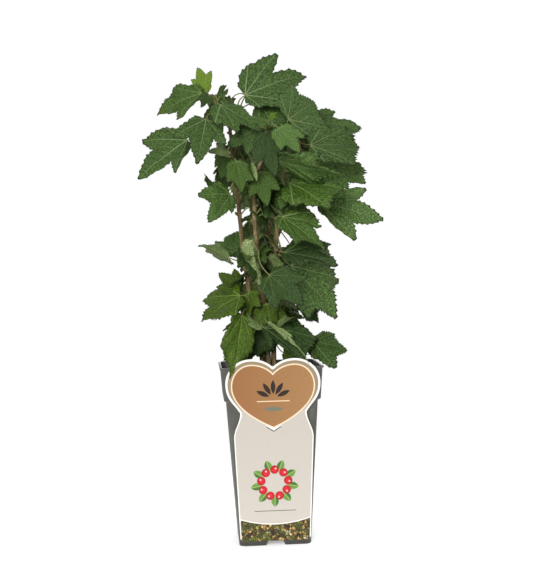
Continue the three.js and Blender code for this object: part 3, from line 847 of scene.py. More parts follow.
def carried_frames(line):
    """Two directions across the line at each point, carried along it without twisting."""
    along = np.gradient(line, axis=0)
    along /= np.linalg.norm(along, axis=1, keepdims=True)
    across = np.cross(along[0], np.eye(3)[np.argmin(np.abs(along[0]))])
    rows = []
    for way in along:
        across = across - way * (across @ way)
        across = across / np.linalg.norm(across)
        rows.append(across)
    first = np.array(rows)
    return first, np.cross(along, first)


def limb(line, radius, sides, relief=None):
    """Sections round a line: its point plus the radius, times one plus the relief, in each direction,
    with a point on the line closing each end."""
    first, second = carried_frames(line)
    turn = np.arange(sides) * 2 * np.pi / sides
    ring = np.cos(turn)[None, :, None] * first[:, None] + np.sin(turn)[None, :, None] * second[:, None]
    reach = np.asarray(radius, float)[:, None] * (1 + (0 if relief is None else relief))
    points = line[:, None] + ring * np.broadcast_to(reach, ring.shape[:2])[..., None]
    ends = [np.broadcast_to(line[at], points[:1].shape) for at in (0, -1)]
    return grid(np.concatenate([ends[0], points, ends[1]]), wrap=True, flip=True)


# %% [markdown]
# ## The foot and the stems
# A redcurrant forks low: four stems rise from a foot that flares where it enters the soil. The bark is
# grey-brown and thin, and peels in narrow strips, so the relief is long ridges along the stem. Every
# few centimetres a node swells, where last year's leaf and its bud sat. All of it is in the mesh: the
# radius is multiplied by the ridges and the nodes.

# %% Sizes and courses of the stems
fork_high = 190
foot_place = np.array([-1, 0])
flare_radius, neck_radius = 11, 8
stem_radius, stem_tip_radius = 3.1, 1.9
stem_courses = {
    "stem_left": [[-7, -1, 0], [-14, -1, 237], [-24, 2, 302], [-31, 5, 387], [-37, 6, 454]],
    "stem_middle": [[-1, -6, 0], [-4, -7, 242], [-11, -11, 317], [-12, -12, 374], [0, -25, 436]],
    "stem_right": [[5, -1, 0], [7, -1, 242], [10, -3, 317], [17, -4, 374], [34, -3, 438]],
    "stem_back": [[-1, 6, 0], [-3, 14, 242], [2, 22, 317], [7, 26, 382], [5, 31, 448]],
}
stem_steps, spur_steps = 220, 30
stem_sides, foot_sides, spur_sides = 20, 40, 12
stem_seed, foot_seed, spur_seed, bud_seed = 21, 31, 41, 51


def stem_line(course):
    """The stem's middle line, from just above the fork through its places."""
    x, y = course[0][:2]
    start = fork_high + clear
    return smooth_line([[x, y, start], [x, y, start + 6], *course[1:]], stem_steps)


stem_lines = {name: stem_line(course) for name, course in stem_courses.items()}
for name, line in stem_lines.items():
    print(name, "is", round(float(np.linalg.norm(np.diff(line, axis=0), axis=1).sum())), "mm long")

# %% Finish of the bark
def bark_finish(name, dark, usual, pale):
    """Thin bark: strips that run up the stem, darker in their cracks, with pale pores across."""
    finish = new_finish(name, roughness=0.8, specular_ior_level=0.3)
    place = on_object(finish)
    strips = noise(finish, stretched(finish, place, (1100, 1100, 70)), 1, 5, 0.6)
    patches = noise(finish, place, 90, 4)
    pores = add(finish, "TexVoronoi", {"Vector": stretched(finish, place, (300, 300, 620)), "Scale": 1.0})
    skin = mix(finish, spread(finish, strips, 0.32, 0.68), tint(*dark), tint(*usual))
    peeled = mix(finish, spread(finish, patches, 0.5, 0.68, 0, 0.8), skin, tint(*pale))
    spots = spread(finish, pores.outputs["Distance"], 0.12, 0.2, 0.6, 0)
    wear(finish, base_color=mix(finish, spots, peeled, tint(176, 156, 124)))
    raise_by(finish, strips, 0.4, 0.7)
    return finish


bark = bark_finish("bark", (66, 52, 34), (134, 116, 78), (172, 152, 110))

# %% Make the foot and the stems
def bark_relief(line, sides, seed):
    """Ridges that run along the limb: bumps of the turn round it and, ten times slower, of its length,
    with a swelling at each node. The nodes come every 24 to 36 mm."""
    far = np.concatenate([[0], np.cumsum(np.linalg.norm(np.diff(line, axis=0), axis=1))])
    turn = np.arange(sides) * 2 * np.pi / sides
    wide = 3.0
    around = np.stack(np.broadcast_arrays(
        wide * np.cos(turn)[None], wide * np.sin(turn)[None], far[:, None] / 10), axis=-1)
    ridges = 0.045 * bumps(around, 2.2, seed) + 0.06 * bumps(around, 6, seed + 1)
    draw = np.random.default_rng(seed)
    nodes = np.cumsum(draw.uniform(24, 36, 12))
    swelling = 0.2 * np.exp(-(((far[:, None] - nodes) / 2.2) ** 2)).sum(axis=1)
    return ridges + swelling[:, None]


def stem_shape(line, seed):
    """A tapering stem that starts inside the foot and ends in a blunt bud."""
    below = np.linspace(line[0] - [0, 0, 7], line[0], 6, endpoint=False)
    whole = np.vstack([below, line])
    share = np.clip((np.arange(len(whole)) - len(below)) / stem_steps, 0, 1)
    radius = stem_radius + (stem_tip_radius - stem_radius) * share
    radius *= np.sqrt(np.clip((1.003 - share) / 0.012, 0.05, 1))
    return limb(whole, radius, stem_sides, bark_relief(whole, stem_sides, seed))


def foot_shape():
    """The foot widens toward the soil by the fourth power of the way down and a little at the fork,
    and its top is rounded over."""
    top = fork_high + 1.5
    line = np.linspace([*foot_place, soil_top - 4], [*foot_place, top], 48)
    share = np.clip((line[:, 2] - soil_top) / (fork_high - soil_top), 0, 1)
    radius = neck_radius + (flare_radius - neck_radius) * (1 - share) ** 4 + 1.2 * share**3
    radius *= np.sqrt(np.clip((top + 0.2 - line[:, 2]) / 3, 0.05, 1))
    return limb(line, radius, foot_sides, 1.4 * bark_relief(line, foot_sides, foot_seed))


for seed, (name, line) in enumerate(stem_lines.items(), start=stem_seed):
    add_piece(name.replace("stem_", "woody_stem_"), stem_shape(line, seed), [bark], [name])

add_piece("woody_foot", foot_shape(), [bark], ["trunk_foot"])

# %% [markdown]
# ## The leaf
# A redcurrant leaf has a long middle lobe, two side lobes and two small ones by the stalk, all with
# blunt teeth. Its veins spread from the foot like the fingers of a hand and are sunk into the upper
# face. The source gives the leaf as reaches at set angles from the midrib, so the leaf is a grid of
# angle and reach: from the foot, where all columns meet, out to the toothed edge. Teeth are added
# along each stretch of the edge, and the veins press the grid down where they run. Upper and lower
# face share their edge, so a leaf is a closed, thin shell.

# %% Outline of a leaf of unit length
lobes = [[0, 1], [6.5, 0.88], [13, 0.74], [20, 0.61], [28, 0.73], [34, 0.81],
         [43, 0.65], [52, 0.48], [64, 0.44], [82, 0.3], [112, 0.14]]
teeth = [2, 2, 2, 2, 1, 2, 2, 1, 2, 2]
points_to_tip = [True, True, True, False, False, True, True, False, True, True]
tooth_shares = np.array([0, 0.1, 0.25, 0.58])
tooth_heights = np.array([0, 0.3, 1, 0.4])
tooth_high = 0.024


def toothed_half():
    """Half the edge, from the tip to the foot: each stretch between two lobe points is a row of teeth,
    whose short flank faces the lobe's tip. Returns places as x along the midrib and y to its left."""
    angle, reach = np.radians([row[0] for row in lobes]), np.array([row[1] for row in lobes])
    corner = np.stack([reach * np.cos(angle), reach * np.sin(angle)], axis=1)
    places = []
    for k, count in enumerate(teeth):
        shares, heights = tooth_shares, tooth_heights
        if not points_to_tip[k]:
            shares = np.concatenate([[0], 1 - tooth_shares[:0:-1]])
            heights = np.concatenate([[0], tooth_heights[:0:-1]])
        along = corner[k + 1] - corner[k]
        outward = np.array([along[1], -along[0]]) / np.linalg.norm(along)
        share = (np.arange(count)[:, None] + shares).ravel()[:, None] / count
        height = tooth_high * np.tile(heights, count)[:, None]
        places.append(corner[k] + share * along + outward * height)
    return np.vstack([*places, corner[-1:]])


half_edge = toothed_half()
edge = np.vstack([(half_edge * [1, -1])[:0:-1], half_edge])
edge_angle = np.degrees(np.arctan2(edge[:, 1], edge[:, 0]))
edge_reach = np.linalg.norm(edge, axis=1)
ring_shares = np.array([0, 0.07, 0.15, 0.23, 0.31, 0.39, 0.47, 0.55, 0.63, 0.71, 0.79, 0.87, 0.94, 0.985, 1])
print("points round a leaf:", len(edge), "rings:", len(ring_shares))

# %% Veins of a leaf
rib_angles = [0, 34, -34, 64, -64]
vein_start, vein_gap, vein_fork = 0.24, 0.115, 40


def vein_lines():
    """Straight veins as start, end, width and depth: five ribs from the foot, and side veins that
    leave each rib at about 40 degrees."""
    rows = []
    for angle, reach in zip(rib_angles, (0.97, 0.77, 0.77, 0.42, 0.42)):
        way = np.array([np.cos(np.radians(angle)), np.sin(np.radians(angle))])
        rows.append([0, 0, *(reach * way), 0.013, 1])
        starts = np.arange(vein_start, reach - 0.06, vein_gap)
        for start in starts:
            for side in (vein_fork, -vein_fork):
                turn = np.radians(angle + side)
                long = 0.42 * (reach - start) + 0.05
                end = start * way + long * np.array([np.cos(turn), np.sin(turn)])
                rows.append([*(start * way), *end, 0.011, 0.55])
    return np.array(rows)


def vein_depth(x, y):
    """How deep the nearest vein lies at a place: a bell across each vein, the deepest counts."""
    start, end = veins[:, :2], veins[:, 2:4]
    way = end - start
    place = np.stack([x, y], axis=-1)[..., None, :]
    share = np.clip(((place - start) * way).sum(-1) / (way**2).sum(-1), 0, 1)
    off = np.linalg.norm(place - start - share[..., None] * way, axis=-1)
    return (veins[:, 5] * np.exp(-((off / veins[:, 4]) ** 2))).max(axis=-1)


veins = vein_lines()
grid_reach = ring_shares[:, None] * edge_reach
flat_x = grid_reach * np.cos(np.radians(edge_angle))
flat_y = grid_reach * np.sin(np.radians(edge_angle))
leaf_veins = vein_depth(flat_x, flat_y)
rib_off = np.min([np.abs(flat_y * np.cos(np.radians(a)) - flat_x * np.sin(np.radians(a)))
                  for a in rib_angles], axis=0)
print("veins:", len(veins), "deepest:", leaf_veins.max().round(2))

# %% The blade's shape
# Angles are in degrees from the midrib. The blade's thickness and the veins' depth are in millimetres,
# and the other measures, but for the two seeds, are shares of the blade's length.
lobe_ramp, base_start = 20, 38
notch_angle, notch_spread = 20, 7
foot_angle, foot_fade = lobes[-1][0], 4
fold, droop, midrib_round = 0.15, 0.12, 0.03
channel_deep, margin_drop = 0.14, 0.03
wave_high, wave_long, wave_seed = 0.028, 0.42, 5
ripple_high, ripple_long, ripple_seed = 0.012, 0.16, 6
blade_thick = 0.4
vein_deep = 0.45


def blade_faces(length, width, shares, seed, curl=0.0):
    """Upper and lower face of a blade as grids in its own frame. The shares are of the usual reach: for
    the left and right lobe, for the lobe by the stalk on each side, and for the notch between the
    middle lobe and each side lobe. The face folds up from the midrib and droops by the square of its
    reach. On that lie a shallow channel along each rib, waves at the margin, and the veins pressed in.
    A curled blade is bent round its midrib: a place y to the side goes to sin(curl y) / curl, and
    rises by (1 - cos(curl y)) / curl."""
    def past(start):
        return np.clip((off_midrib - start) / lobe_ramp, 0, 1)

    def on_side(left, right):
        return np.where(edge_angle > 0, left, right)

    off_midrib = np.abs(edge_angle)
    left, right, base, base_right, notch, notch_right = shares
    notched = np.exp(-(((off_midrib - notch_angle) / notch_spread) ** 2))
    reach = grid_reach * (1 + (on_side(left, right) - 1) * past(0))
    reach = reach * (1 + (on_side(base, base_right) - 1) * past(base_start))
    reach = reach * (1 + (on_side(notch, notch_right) - 1) * notched)
    x = reach * np.cos(np.radians(edge_angle))
    y = reach * np.sin(np.radians(edge_angle))
    flat = np.stack([x, y, np.zeros_like(x)], axis=-1) + seed
    share = ring_shares[:, None]
    across = np.sqrt(y * y + midrib_round**2) - midrib_round
    z = fold * across - droop * reach * reach + droop * x + channel_deep * rib_off * share
    z = z + wave_high * share**2 * bumps(flat, wave_long, wave_seed)
    z = z + ripple_high * share * bumps(flat, ripple_long, ripple_seed) - margin_drop * share**6
    y = y * width
    if curl:
        y, z = np.sin(curl * y) / curl, z + (1 - np.cos(curl * y)) / curl
    places = np.stack([x, y, z], axis=-1) * length
    inside = np.clip((1 - share) / 0.1, 0, 1)
    ends = np.clip((foot_angle - off_midrib) / foot_fade, 0, 1)
    half_thick = 0.5 * blade_thick * np.sqrt(np.clip(1 - share**8, 0, 1)) * ends
    pressed = vein_deep * leaf_veins * inside * ends
    upper, lower = places.copy(), places.copy()
    upper[..., 2] += half_thick - pressed
    lower[..., 2] -= half_thick + 1.25 * pressed
    return upper, lower


def turn_matrix(heading, climb, roll):
    """The leaf's turn: rolled about its midrib, raised, then headed, each in degrees."""
    a, b, c = np.radians([heading, -climb, roll])
    about_z = np.array([[np.cos(a), -np.sin(a), 0], [np.sin(a), np.cos(a), 0], [0, 0, 1]])
    about_y = np.array([[np.cos(b), 0, np.sin(b)], [0, 1, 0], [-np.sin(b), 0, np.cos(b)]])
    about_x = np.array([[1, 0, 0], [0, np.cos(c), -np.sin(c)], [0, np.sin(c), np.cos(c)]])
    return about_z @ about_y @ about_x


# %% A leaf and its stalk, placed
stalk_steps = 12
golden_share, golden_angle = 0.618034, 137.5
tile_start, tile_extent = [0.09, 0.56], [1.16, 1.12]


def all_shares(row):
    """A row's shares with the usual ones filled in: the right lobe by the stalk follows the left one,
    and the others are 1."""
    given = list(row[8:])
    given += [1, 1, 1][len(given):]
    given += [given[2], 1, 1][len(given) - 3:]
    return given


def leaf_shape(row, tone, tile, tiles_across, curl=0.0, every=1):
    """One leaf: two grids that share their edge. Each face has the number of its finish, and each
    corner its place on the leaf's own map and in the leaf's tile of the whole piece's map. A leaf deep
    inside the crown keeps only every second ring."""
    x, y, z, heading, climb, roll, length, width = row[:8]
    seed = abs(int(round(7 * x + 13 * y + 29 * z)))
    turn = turn_matrix(heading, climb, roll)
    own = np.stack([flat_x, flat_y], axis=-1)[::every].reshape(-1, 2)
    margin = np.repeat(ring_shares[::every], len(edge))
    sides = []
    for number, points in enumerate(blade_faces(length, width, all_shares(row), seed, curl)):
        side = grid(points[::every] @ turn.T + [x, y, z], flip=number == 1)
        at = tile + number
        corner = np.array([at % tiles_across, at // tiles_across])
        fitted = (own + tile_start) / tile_extent
        side["map_leaf"] = own[side["quads"]]
        side["map_OFBake"] = ((corner + fitted) / tiles_across)[side["quads"]]
        side["finish"] = np.full(len(side["quads"]), tone if number == 0 else max(tone, under_side))
        side["value_margin"] = margin
        side["value_shade"] = np.full(len(own), seed * golden_share % 1)
        sides.append(side)
    return joined(sides)


def stalk_shape(root, row):
    """The stalk leaves the spur, bows and enters the blade's foot. It is widest where it sheathes the
    spur and thins along its length."""
    x, y, z, heading, climb, roll = row[:6]
    turn = turn_matrix(heading, climb, roll)
    foot = np.array([x, y, z])
    entry = foot + turn @ [5, 0, -0.35]
    before = foot + turn @ [-0.4 * np.linalg.norm(foot - root), 0, 0]
    share = np.linspace(0, 1, stalk_steps + 1)
    line = bezier([root, root + 0.6 * (before - root), before, entry], share[:, None])
    radius = 0.85 - 0.3 * share + 0.7 * np.exp(-((share / 0.07) ** 2))
    radius[-1] = 0.2
    return limb(line, radius, 8)


# %% [markdown]
# ## Masses of foliage
# The crown is eighteen masses, each on one spur from a stem. Leaves that show are placed one by one, a
# row each. The rows began as the source's own. A search program outside this script then moved their
# places, turns and shares by small steps, to bring their outline closer to the picture's. A few were
# set again one by one, and four masses got one leaf more: leaves_top, leaves_low_left, leaves_middle
# and leaves_low_right. The leaves of the far side grow by the source's rule: they fan out behind the
# spur's end, at evenly rising heights, with a seeded share of chance in each measure. The solids left
# out a far leaf that would touch another, so a far leaf is made only where its solid has a point at the
# leaf's tip.

# %% Rows of the leaves that show
# A row: the blade's start in x, y and z, its heading, climb and roll in degrees, and its length. Then
# come its shares of the usual: its width, its left and right lobe, its lobe by the stalk on the left
# and on the right, and its notch on the left and on the right. all_shares fills in what is left out.
foliage = {
    "leaves_top_left": ["stem_left", 454, [-57, 2, 486], [
        [-63, -17, 459, -105, -52, -23, 65, 1.08, 0.8, 0.93, 0.7],
        [-52, 14, 490, 66, -66, -168, 42, 0.63, 1.31, 0.98, 1.44, 1.03, 0.89, 1.1],
        [-48, 8, 487, 37, 54, 35, 19, 0.54, 1.17, 1.12, 0.79, 1.6, 1.29, 0.7],
        [-59, -6, 487, -163, -56, -98, 17, 0.93, 0.98, 1.08, 1.15, 1.21, 0.93, 1.17],
        [-67, -7, 489, 161, -19, -60, 58, 1.02, 0.86, 0.83, 0.32, 0.89, 1.07, 1.35],
        [-63, 2, 492, 147, 71, -56, 30, 0.94, 0.87, 1.06, 0.97, 0.72, 1.08, 1.02]]],
    "leaves_left": ["stem_left", 428, [-45, 4, 436], [
        [-44, 17, 429, 119, -74, -131, 32, 0.6, 1.25, 0.93, 1.1, 1.32, 1.23, 0.99],
        [-39, -9, 421, -153, 5, -61, 26, 0.9],
        [-84, 1, 439, -188, -36, -52, 70, 1.54, 0.67, 0.91, 0.35, 1, 1.02, 1.03]]],
    "leaves_middle_left": ["stem_left", 386, [-35, -9, 392], [
        [-39, -19, 377, -126, -40, -77, 50, 1.07, 0.56, 1.27, 1.22, 0.91, 1.21, 0.91],
        [-54, -6, 376, 175, 65, -37, 28, 0.55, 1.11, 0.86, 1.25, 1, 1.26, 1.11],
        [-32, -32, 411, -68, -71, 17, 37, 0.82, 1.05, 1, 1, 1.01, 1.05]]],
    "leaves_lower_left": ["stem_left", 302, [-31, 13, 307], [
        [-41, 15, 309, 144, 22, 45, 44, 0.94, 0.66, 1.08, 1.21, 1.29, 1.27, 1.35],
        [-30, 33, 316, 126, 45, -30, 28, 1.03, 1.31, 1.27, 1.43, 0.91, 0.99, 1.31]]],
    "leaves_low_left": ["stem_left", 240, [-19, -14, 252], [
        [-23, -12, 239, -43, -70, 39, 41, 1.16, 1.2, 1.08, 1.1, 1, 1.33, 0.95],
        [-9, -37, 233, -154, 38, 143, 25, 0.7],
        [-30, -38, 246, -120, -67, -63, 70, 0.76, 0.79, 0.94, 1.08, 0.74, 1.34, 1.35],
        [-31, -23, 267, 170, -32, -31, 51, 1.35, 0.86, 1.23, 1.45, 1.23, 1.35, 1.01],
        [-32, -5, 274, 176, 41, -60, 28, 1.29, 1.04, 0.95, 1, 1.2, 1, 1.03],
        [-18, -6, 228, -130, -66, -50, 40, 1.1]]],
    "leaves_top": ["stem_left", 442, [-28, 5, 476], [
        [-47, -4, 477, -24, -35, 38, 62, 0.87, 0.55, 1.06, 0.47, 1.33, 1.23, 0.96],
        [-1, 24, 495, -17, -38, 60, 57, 1.05, 0.82, 0.88, 1.21, 0.99, 1.03, 0.94],
        [-3, 12, 480, -20, -20, 66, 58, 1.2, 0.8, 0.98, 1.0, 1.15, 0.8, 1.07],
        [-19, 7, 489, -2, 18, 58, 72, 1.18, 1.06, 1.05, 1.1, 0.71, 0.86, 1.04]]],
    "leaves_front": ["stem_middle", 436, [3, -36, 448], [
        [-8, -12, 449, -174, -31, -68, 40, 1.15, 1, 0.81, 1.01, 1.01, 1.01, 1.01],
        [0, -42, 441, -70, -67, 42, 55, 0.75],
        [12, -61, 441, -41, -47, 48, 39, 0.85],
        [2, -48, 450, -148, -8, -39, 26, 0.84, 1.06, 1.05, 1, 1, 0.97, 0.99],
        [4, -46, 453, -32, 37, 85, 11, 0.8]]],
    "leaves_middle": ["stem_middle", 386, [-11, -22, 400], [
        [-6, -24, 400, -71, -66, 31, 42, 0.9],
        [-14, -34, 408, -75, -62, 25, 22, 0.6]]],
    "leaves_centre": ["stem_middle", 308, [-10, -24, 316], [
        [-18, -29, 326, 52, -72, -59, 54, 0.7],
        [-1, -50, 288, -30, -39, 60, 50, 1.05]]],
    "leaves_upper_right": ["stem_right", 438, [40, -8, 448], [
        [58, 8, 411, 0, -21, 64, 60, 0.65, 1.18, 1.07, 1, 1.11, 1.34, 1.09],
        [47, -38, 426, 12, 0, 73, 57, 0.69, 1.16, 1.27, 0.99, 1.02, 1.19, 1.17],
        [48, 5, 457, 6, -4, 54, 64, 0.88, 0.82, 1.22, 1.06, 0.92, 0.9, 1.12],
        [26, -20, 457, 3, 34, 87, 35, 1.61, 1.14, 1.32, 1.07, 1, 1.1, 1.11]]],
    "leaves_right": ["stem_right", 376, [23, -15, 386], [
        [11, -17, 370, -20, -14, 51, 27, 1],
        [60, -6, 367, -18, -17, 71, 73, 0.92, 0.92, 1.05, 0.45],
        [26, -18, 388, -28, -8, 40, 63, 0.94, 0.73, 1.42, 1.01, 1.25, 0.99, 1.13],
        [13, -39, 410, -22, -14, 150, 77, 0.87]]],
    "leaves_middle_right": ["stem_right", 306, [15, -20, 316], [
        [24, -22, 298, 8, -48, 58, 78, 1.03, 1.02, 0.98, 1.39, 1.09, 1.15, 1.14],
        [17, -37, 312, -22, -14, 35, 60, 0.94, 1.07, 0.69, 1.27, 1.01, 0.95, 1.04],
        [15, -39, 350, -33, -36, 34, 63, 0.81, 0.91, 0.93, 1.56, 0.94, 0.97, 1.12]]],
    "leaves_low_right": ["stem_right", 234, [11, -14, 244], [
        [15, -15, 203, 9, -28, 61, 28, 1.02, 1.39, 0.91, 0.84, 0.96, 1.02],
        [47, -19, 215, -44, -9, 55, 45, 0.83, 0.79, 1.5, 1.18, 0.89, 1.3, 1.02],
        [-7, -38, 232, -20, -39, 32, 55, 1.16, 1.3, 0.6, 1.16, 0.32, 1.21, 0.81],
        [9, -40, 233, -21, 32, -13, 20, 0.7],
        [34, -7, 260, -10, -50, 59, 33, 0.67, 1.06, 1.03, 0.96, 1, 1.17, 1.31],
        [-3, -43, 237, -22, -41, 24, 62, 0.32, 0.7, 0.7, 0.6]]],
}

# %% The rule of the far side
# Stem, height of the spur, its end, number of leaves, lowest and highest start, first and last
# heading, reach from the spur's end, length and seed.
far_foliage = {
    "leaves_back_top": ["stem_back", 448, [5, 36, 460], 12, 420, 498, 15, 135, 28, 54, 7],
    "leaves_back_middle": ["stem_back", 352, [8, 36, 362], 12, 315, 410, 5, 125, 26, 54, 19],
    "leaves_back_low": ["stem_back", 257, [-1, 26, 264], 9, 215, 300, 30, 145, 22, 50, 31],
    "leaves_back_left": ["stem_back", 398, [-18, 34, 404], 6, 392, 444, 112, 165, 26, 40, 47],
    "leaves_back_right": ["stem_back", 404, [28, 24, 410], 8, 386, 450, -5, 60, 24, 48, 59],
}


def chances(seed):
    """The source's generator of even chances between 0 and 1: times 16807, modulo 2147483647."""
    while True:
        seed = seed * 16807 % 2147483647
        yield seed / 2147483647


def far_rows(end, count, low, high, first, last, reach, length, seed):
    """Leaf rows that fan out behind a spur's end, with the chances drawn in the source's order."""
    chance = chances(seed)
    rows = []
    for k in range(count):
        heading = first + (last - first) * ((k * golden_share + 0.15 * next(chance)) % 1)
        out = reach * (0.7 + 0.6 * next(chance))
        height = low + (high - low) * (k + next(chance)) / count
        x = end[0] + out * np.cos(np.radians(heading))
        y = end[1] + out * np.sin(np.radians(heading))
        climb = -28 - 40 * next(chance)
        roll = -25 + 50 * next(chance)
        rows.append([x, y, height, heading, climb, roll, length * (0.85 + 0.3 * next(chance)), 0.95])
    return rows


def has_solid(node, row):
    """True where the mass's solid has a point within half a millimetre of this leaf's tip."""
    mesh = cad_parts[node].data
    places = np.empty(len(mesh.vertices) * 3, np.float32)
    mesh.vertices.foreach_get("co", places)
    tip = np.array(row[:3]) + turn_matrix(*row[3:6]) @ [row[6], 0, 0]
    return np.linalg.norm(places.reshape(-1, 3) / MM - tip, axis=1).min() < 0.5

# %% Places that stay open
# Open places as seen by the camera, on the plane y = 0: middle in x and z, half width, half height.
sky_places = np.array([[-17, 477, 9, 11], [21, 328, 9, 6], [-41, 446, 4, 8], [10, 208, 5, 6],
                       [-37, 301, 3, 5], [-40, 356, 6, 22], [-63, 408, 7, 12]])


def seen_on_plane(points):
    """Where the line of sight from the camera through each point meets the plane y = 0."""
    eye = camera_place / MM
    share = eye[1] / (eye[1] - points[..., 1:2])
    return (eye + share * (points - eye))[..., [0, 2]]


def stays_open(points):
    """True when no point is seen in front of an open place."""
    seen = seen_on_plane(points).reshape(-1, 1, 2)
    off = (seen - sky_places[:, :2]) / sky_places[:, 2:]
    return (off**2).sum(axis=-1).min() > 1


def opened(row):
    """The row as it is, or with its start moved aside and its heading turned just as far as keeps the
    open places open."""
    for aside in (0, 10, -10, 20, -20):
        for turned in (0, 15, -15, 30, -30, 45, -45, 60, -60):
            tried = [row[0] + aside, *row[1:3], row[3] + turned, *row[4:]]
            blade = blade_faces(row[6], row[7], all_shares(row), 1)[0]
            if stays_open(blade @ turn_matrix(*tried[3:6]).T + tried[:3]):
                return tried
    return row


masses = {name: tuple(rest) for name, rest in foliage.items()}
for name, (stem, height, end, *rule) in far_foliage.items():
    rows = [opened(row) for row in far_rows(end, *rule) if has_solid(name, row)]
    masses[name] = (stem, height, end, rows)
    print(name, "leaves kept:", len(rows))

# %% Finishes of the leaves
def vein_pattern(finish, x, y):
    """The veins as 1 on a line and 0 beside it. The nearest rib is told from the angle, then a place is
    measured along and across that rib. Side veins leave it at even gaps, so the distance to the nearest
    one is a saw-tooth of the place along, less the place across over the tangent of their angle."""
    inner_rib, outer_rib = np.radians(rib_angles[1]), np.radians(rib_angles[3])
    angle = calc(finish, "ARCTAN2", calc(finish, "ABSOLUTE", y), x)
    steps = ((inner_rib / 2, inner_rib), ((inner_rib + outer_rib) / 2, outer_rib - inner_rib))
    turns = [product(finish, calc(finish, "GREATER_THAN", angle, limit), by) for limit, by in steps]
    off = calc(finish, "SUBTRACT", angle, calc(finish, "ADD", *turns))
    reach = far_off(finish, x, y)
    along = product(finish, reach, calc(finish, "COSINE", off))
    across = calc(finish, "ABSOLUTE", product(finish, reach, calc(finish, "SINE", off)))
    thin = spread(finish, along, 0, 0.9, 0.008, 0)
    ribs = spread(finish, calc(finish, "SUBTRACT", across, thin), -0.002, 0.004, 1, 0)
    fork = np.radians(vein_fork)
    met = calc(finish, "SUBTRACT", along, product(finish, across, 1 / np.tan(fork)))
    saw = calc(finish, "PINGPONG", calc(finish, "SUBTRACT", met, vein_start), vein_gap / 2)
    beside = product(finish, saw, np.sin(fork))
    sides = product(finish, spread(finish, beside, 0.001, 0.006, 0.4, 0),
                    over(finish, met, vein_start - 0.03, 0.01), under(finish, across, 0.17, 0.07))
    return calc(finish, "MAXIMUM", ribs, sides)


def leaf_finish(name, body_green, vein, gloss, speckled=1.0):
    """A leaf's face: a cloudy green, a little different from leaf to leaf, quilted between a fine net
    of sunken lines, with painted shade in that net and painted highlight on the bulges, speckled,
    paler on its veins, and darker at its very margin by a painted shade like that between leaves.
    All of it is drawn on the leaf's own map, so it follows each leaf."""
    finish = new_finish(name, roughness=gloss, specular_ior_level=0.25)
    own = add(finish, "UVMap", {}, uv_map="leaf").outputs[0]
    place = add(finish, "SeparateXYZ", {0: own}).outputs
    lines = vein_pattern(finish, place[0], place[1])
    clouds = noise(finish, own, 4, 5, 0.6)
    warped = mix(finish, 0.05, own, add(finish, "TexNoise", {"Vector": own, "Scale": 14}).outputs["Color"])
    net = add(finish, "TexVoronoi", {"Vector": warped, "Scale": 24}, feature="DISTANCE_TO_EDGE")
    quilt = spread(finish, net.outputs["Distance"], 0.0, 0.28)
    specks = noise(finish, own, 34, 4, 0.7)
    dark, light, edge_shade_green = (scaled(body_green, times) for times in (0.42, 2.1, 0.25))
    body = mix(finish, spread(finish, clouds, 0.25, 0.6), dark, body_green)
    body = mix(finish, spread(finish, stored(finish, "shade"), 0, 1, 0, 0.45), body, light)
    # Painted shade and painted highlight: darker in the sunken net and lighter on the bulges between, as
    # light falls on this relief.
    body = mix(finish, spread(finish, quilt, 0, 0.6, 0.6, 0), body, dark)
    body = mix(finish, spread(finish, quilt, 0.5, 1, 0, 0.6), body, light)
    body = mix(finish, spread(finish, specks, 0.34, 0.5, 0.85 * speckled, 0), body, dark)
    body = mix(finish, spread(finish, specks, 0.5, 0.68, 0, 0.85 * speckled), body, light)
    body = mix(finish, product(finish, lines, 0.75), body, vein)
    # Painted shade: the very margin turns dark, like the shadow between overlapping leaves.
    margin = spread(finish, stored(finish, "margin"), 0.95, 0.985, 0, 0.85)
    wear(finish, base_color=mix(finish, margin, body, edge_shade_green))
    height = calc(finish, "ADD", quilt, product(finish, noise(finish, own, 60, 3), 0.5))
    raise_by(finish, calc(finish, "SUBTRACT", height, product(finish, lines, 0.8)), 0.5, 0.7)
    return finish


cool, green, warm, young, fresh, deep, under_side, pale = range(8)
leaf_finishes = [
    leaf_finish("leaf_cool_green", tint(58, 82, 34), tint(134, 152, 104), 0.48),
    leaf_finish("leaf_green", tint(61, 86, 30), tint(134, 154, 94), 0.48),
    leaf_finish("leaf_warm_green", tint(63, 86, 18), tint(134, 154, 80), 0.5),
    leaf_finish("leaf_young_green", tint(98, 124, 36), tint(146, 168, 78), 0.56),
    leaf_finish("leaf_fresh_green", tint(74, 101, 46), tint(136, 158, 98), 0.48),
    leaf_finish("leaf_deep_green", tint(43, 64, 24), tint(98, 120, 74), 0.48),
    leaf_finish("leaf_underside", tint(100, 118, 66), tint(142, 156, 108), 0.65, 0.5),
    leaf_finish("leaf_curled_pale", tint(136, 154, 98), tint(168, 180, 130), 0.65, 0.4),
]
stalk_green = bark_finish("leaf_stalk", (96, 104, 56), (128, 138, 78), (146, 122, 84))
twig_bark = bark_finish("twig_bark", (92, 78, 54), (132, 116, 82), (156, 140, 106))

# %% Greens of the sprays and of single leaves
# Each spray has its green, as in the picture: cool at the top, warm near the pot, and the usual one
# for a spray that isn't named here.
spray_tones = {
    "leaves_top_left": cool, "leaves_top": cool, "leaves_front": cool, "leaves_upper_right": cool,
    "leaves_left": cool, "leaves_back_top": cool, "leaves_low_left": warm, "leaves_low_right": warm,
    "leaves_back_low": warm,
}
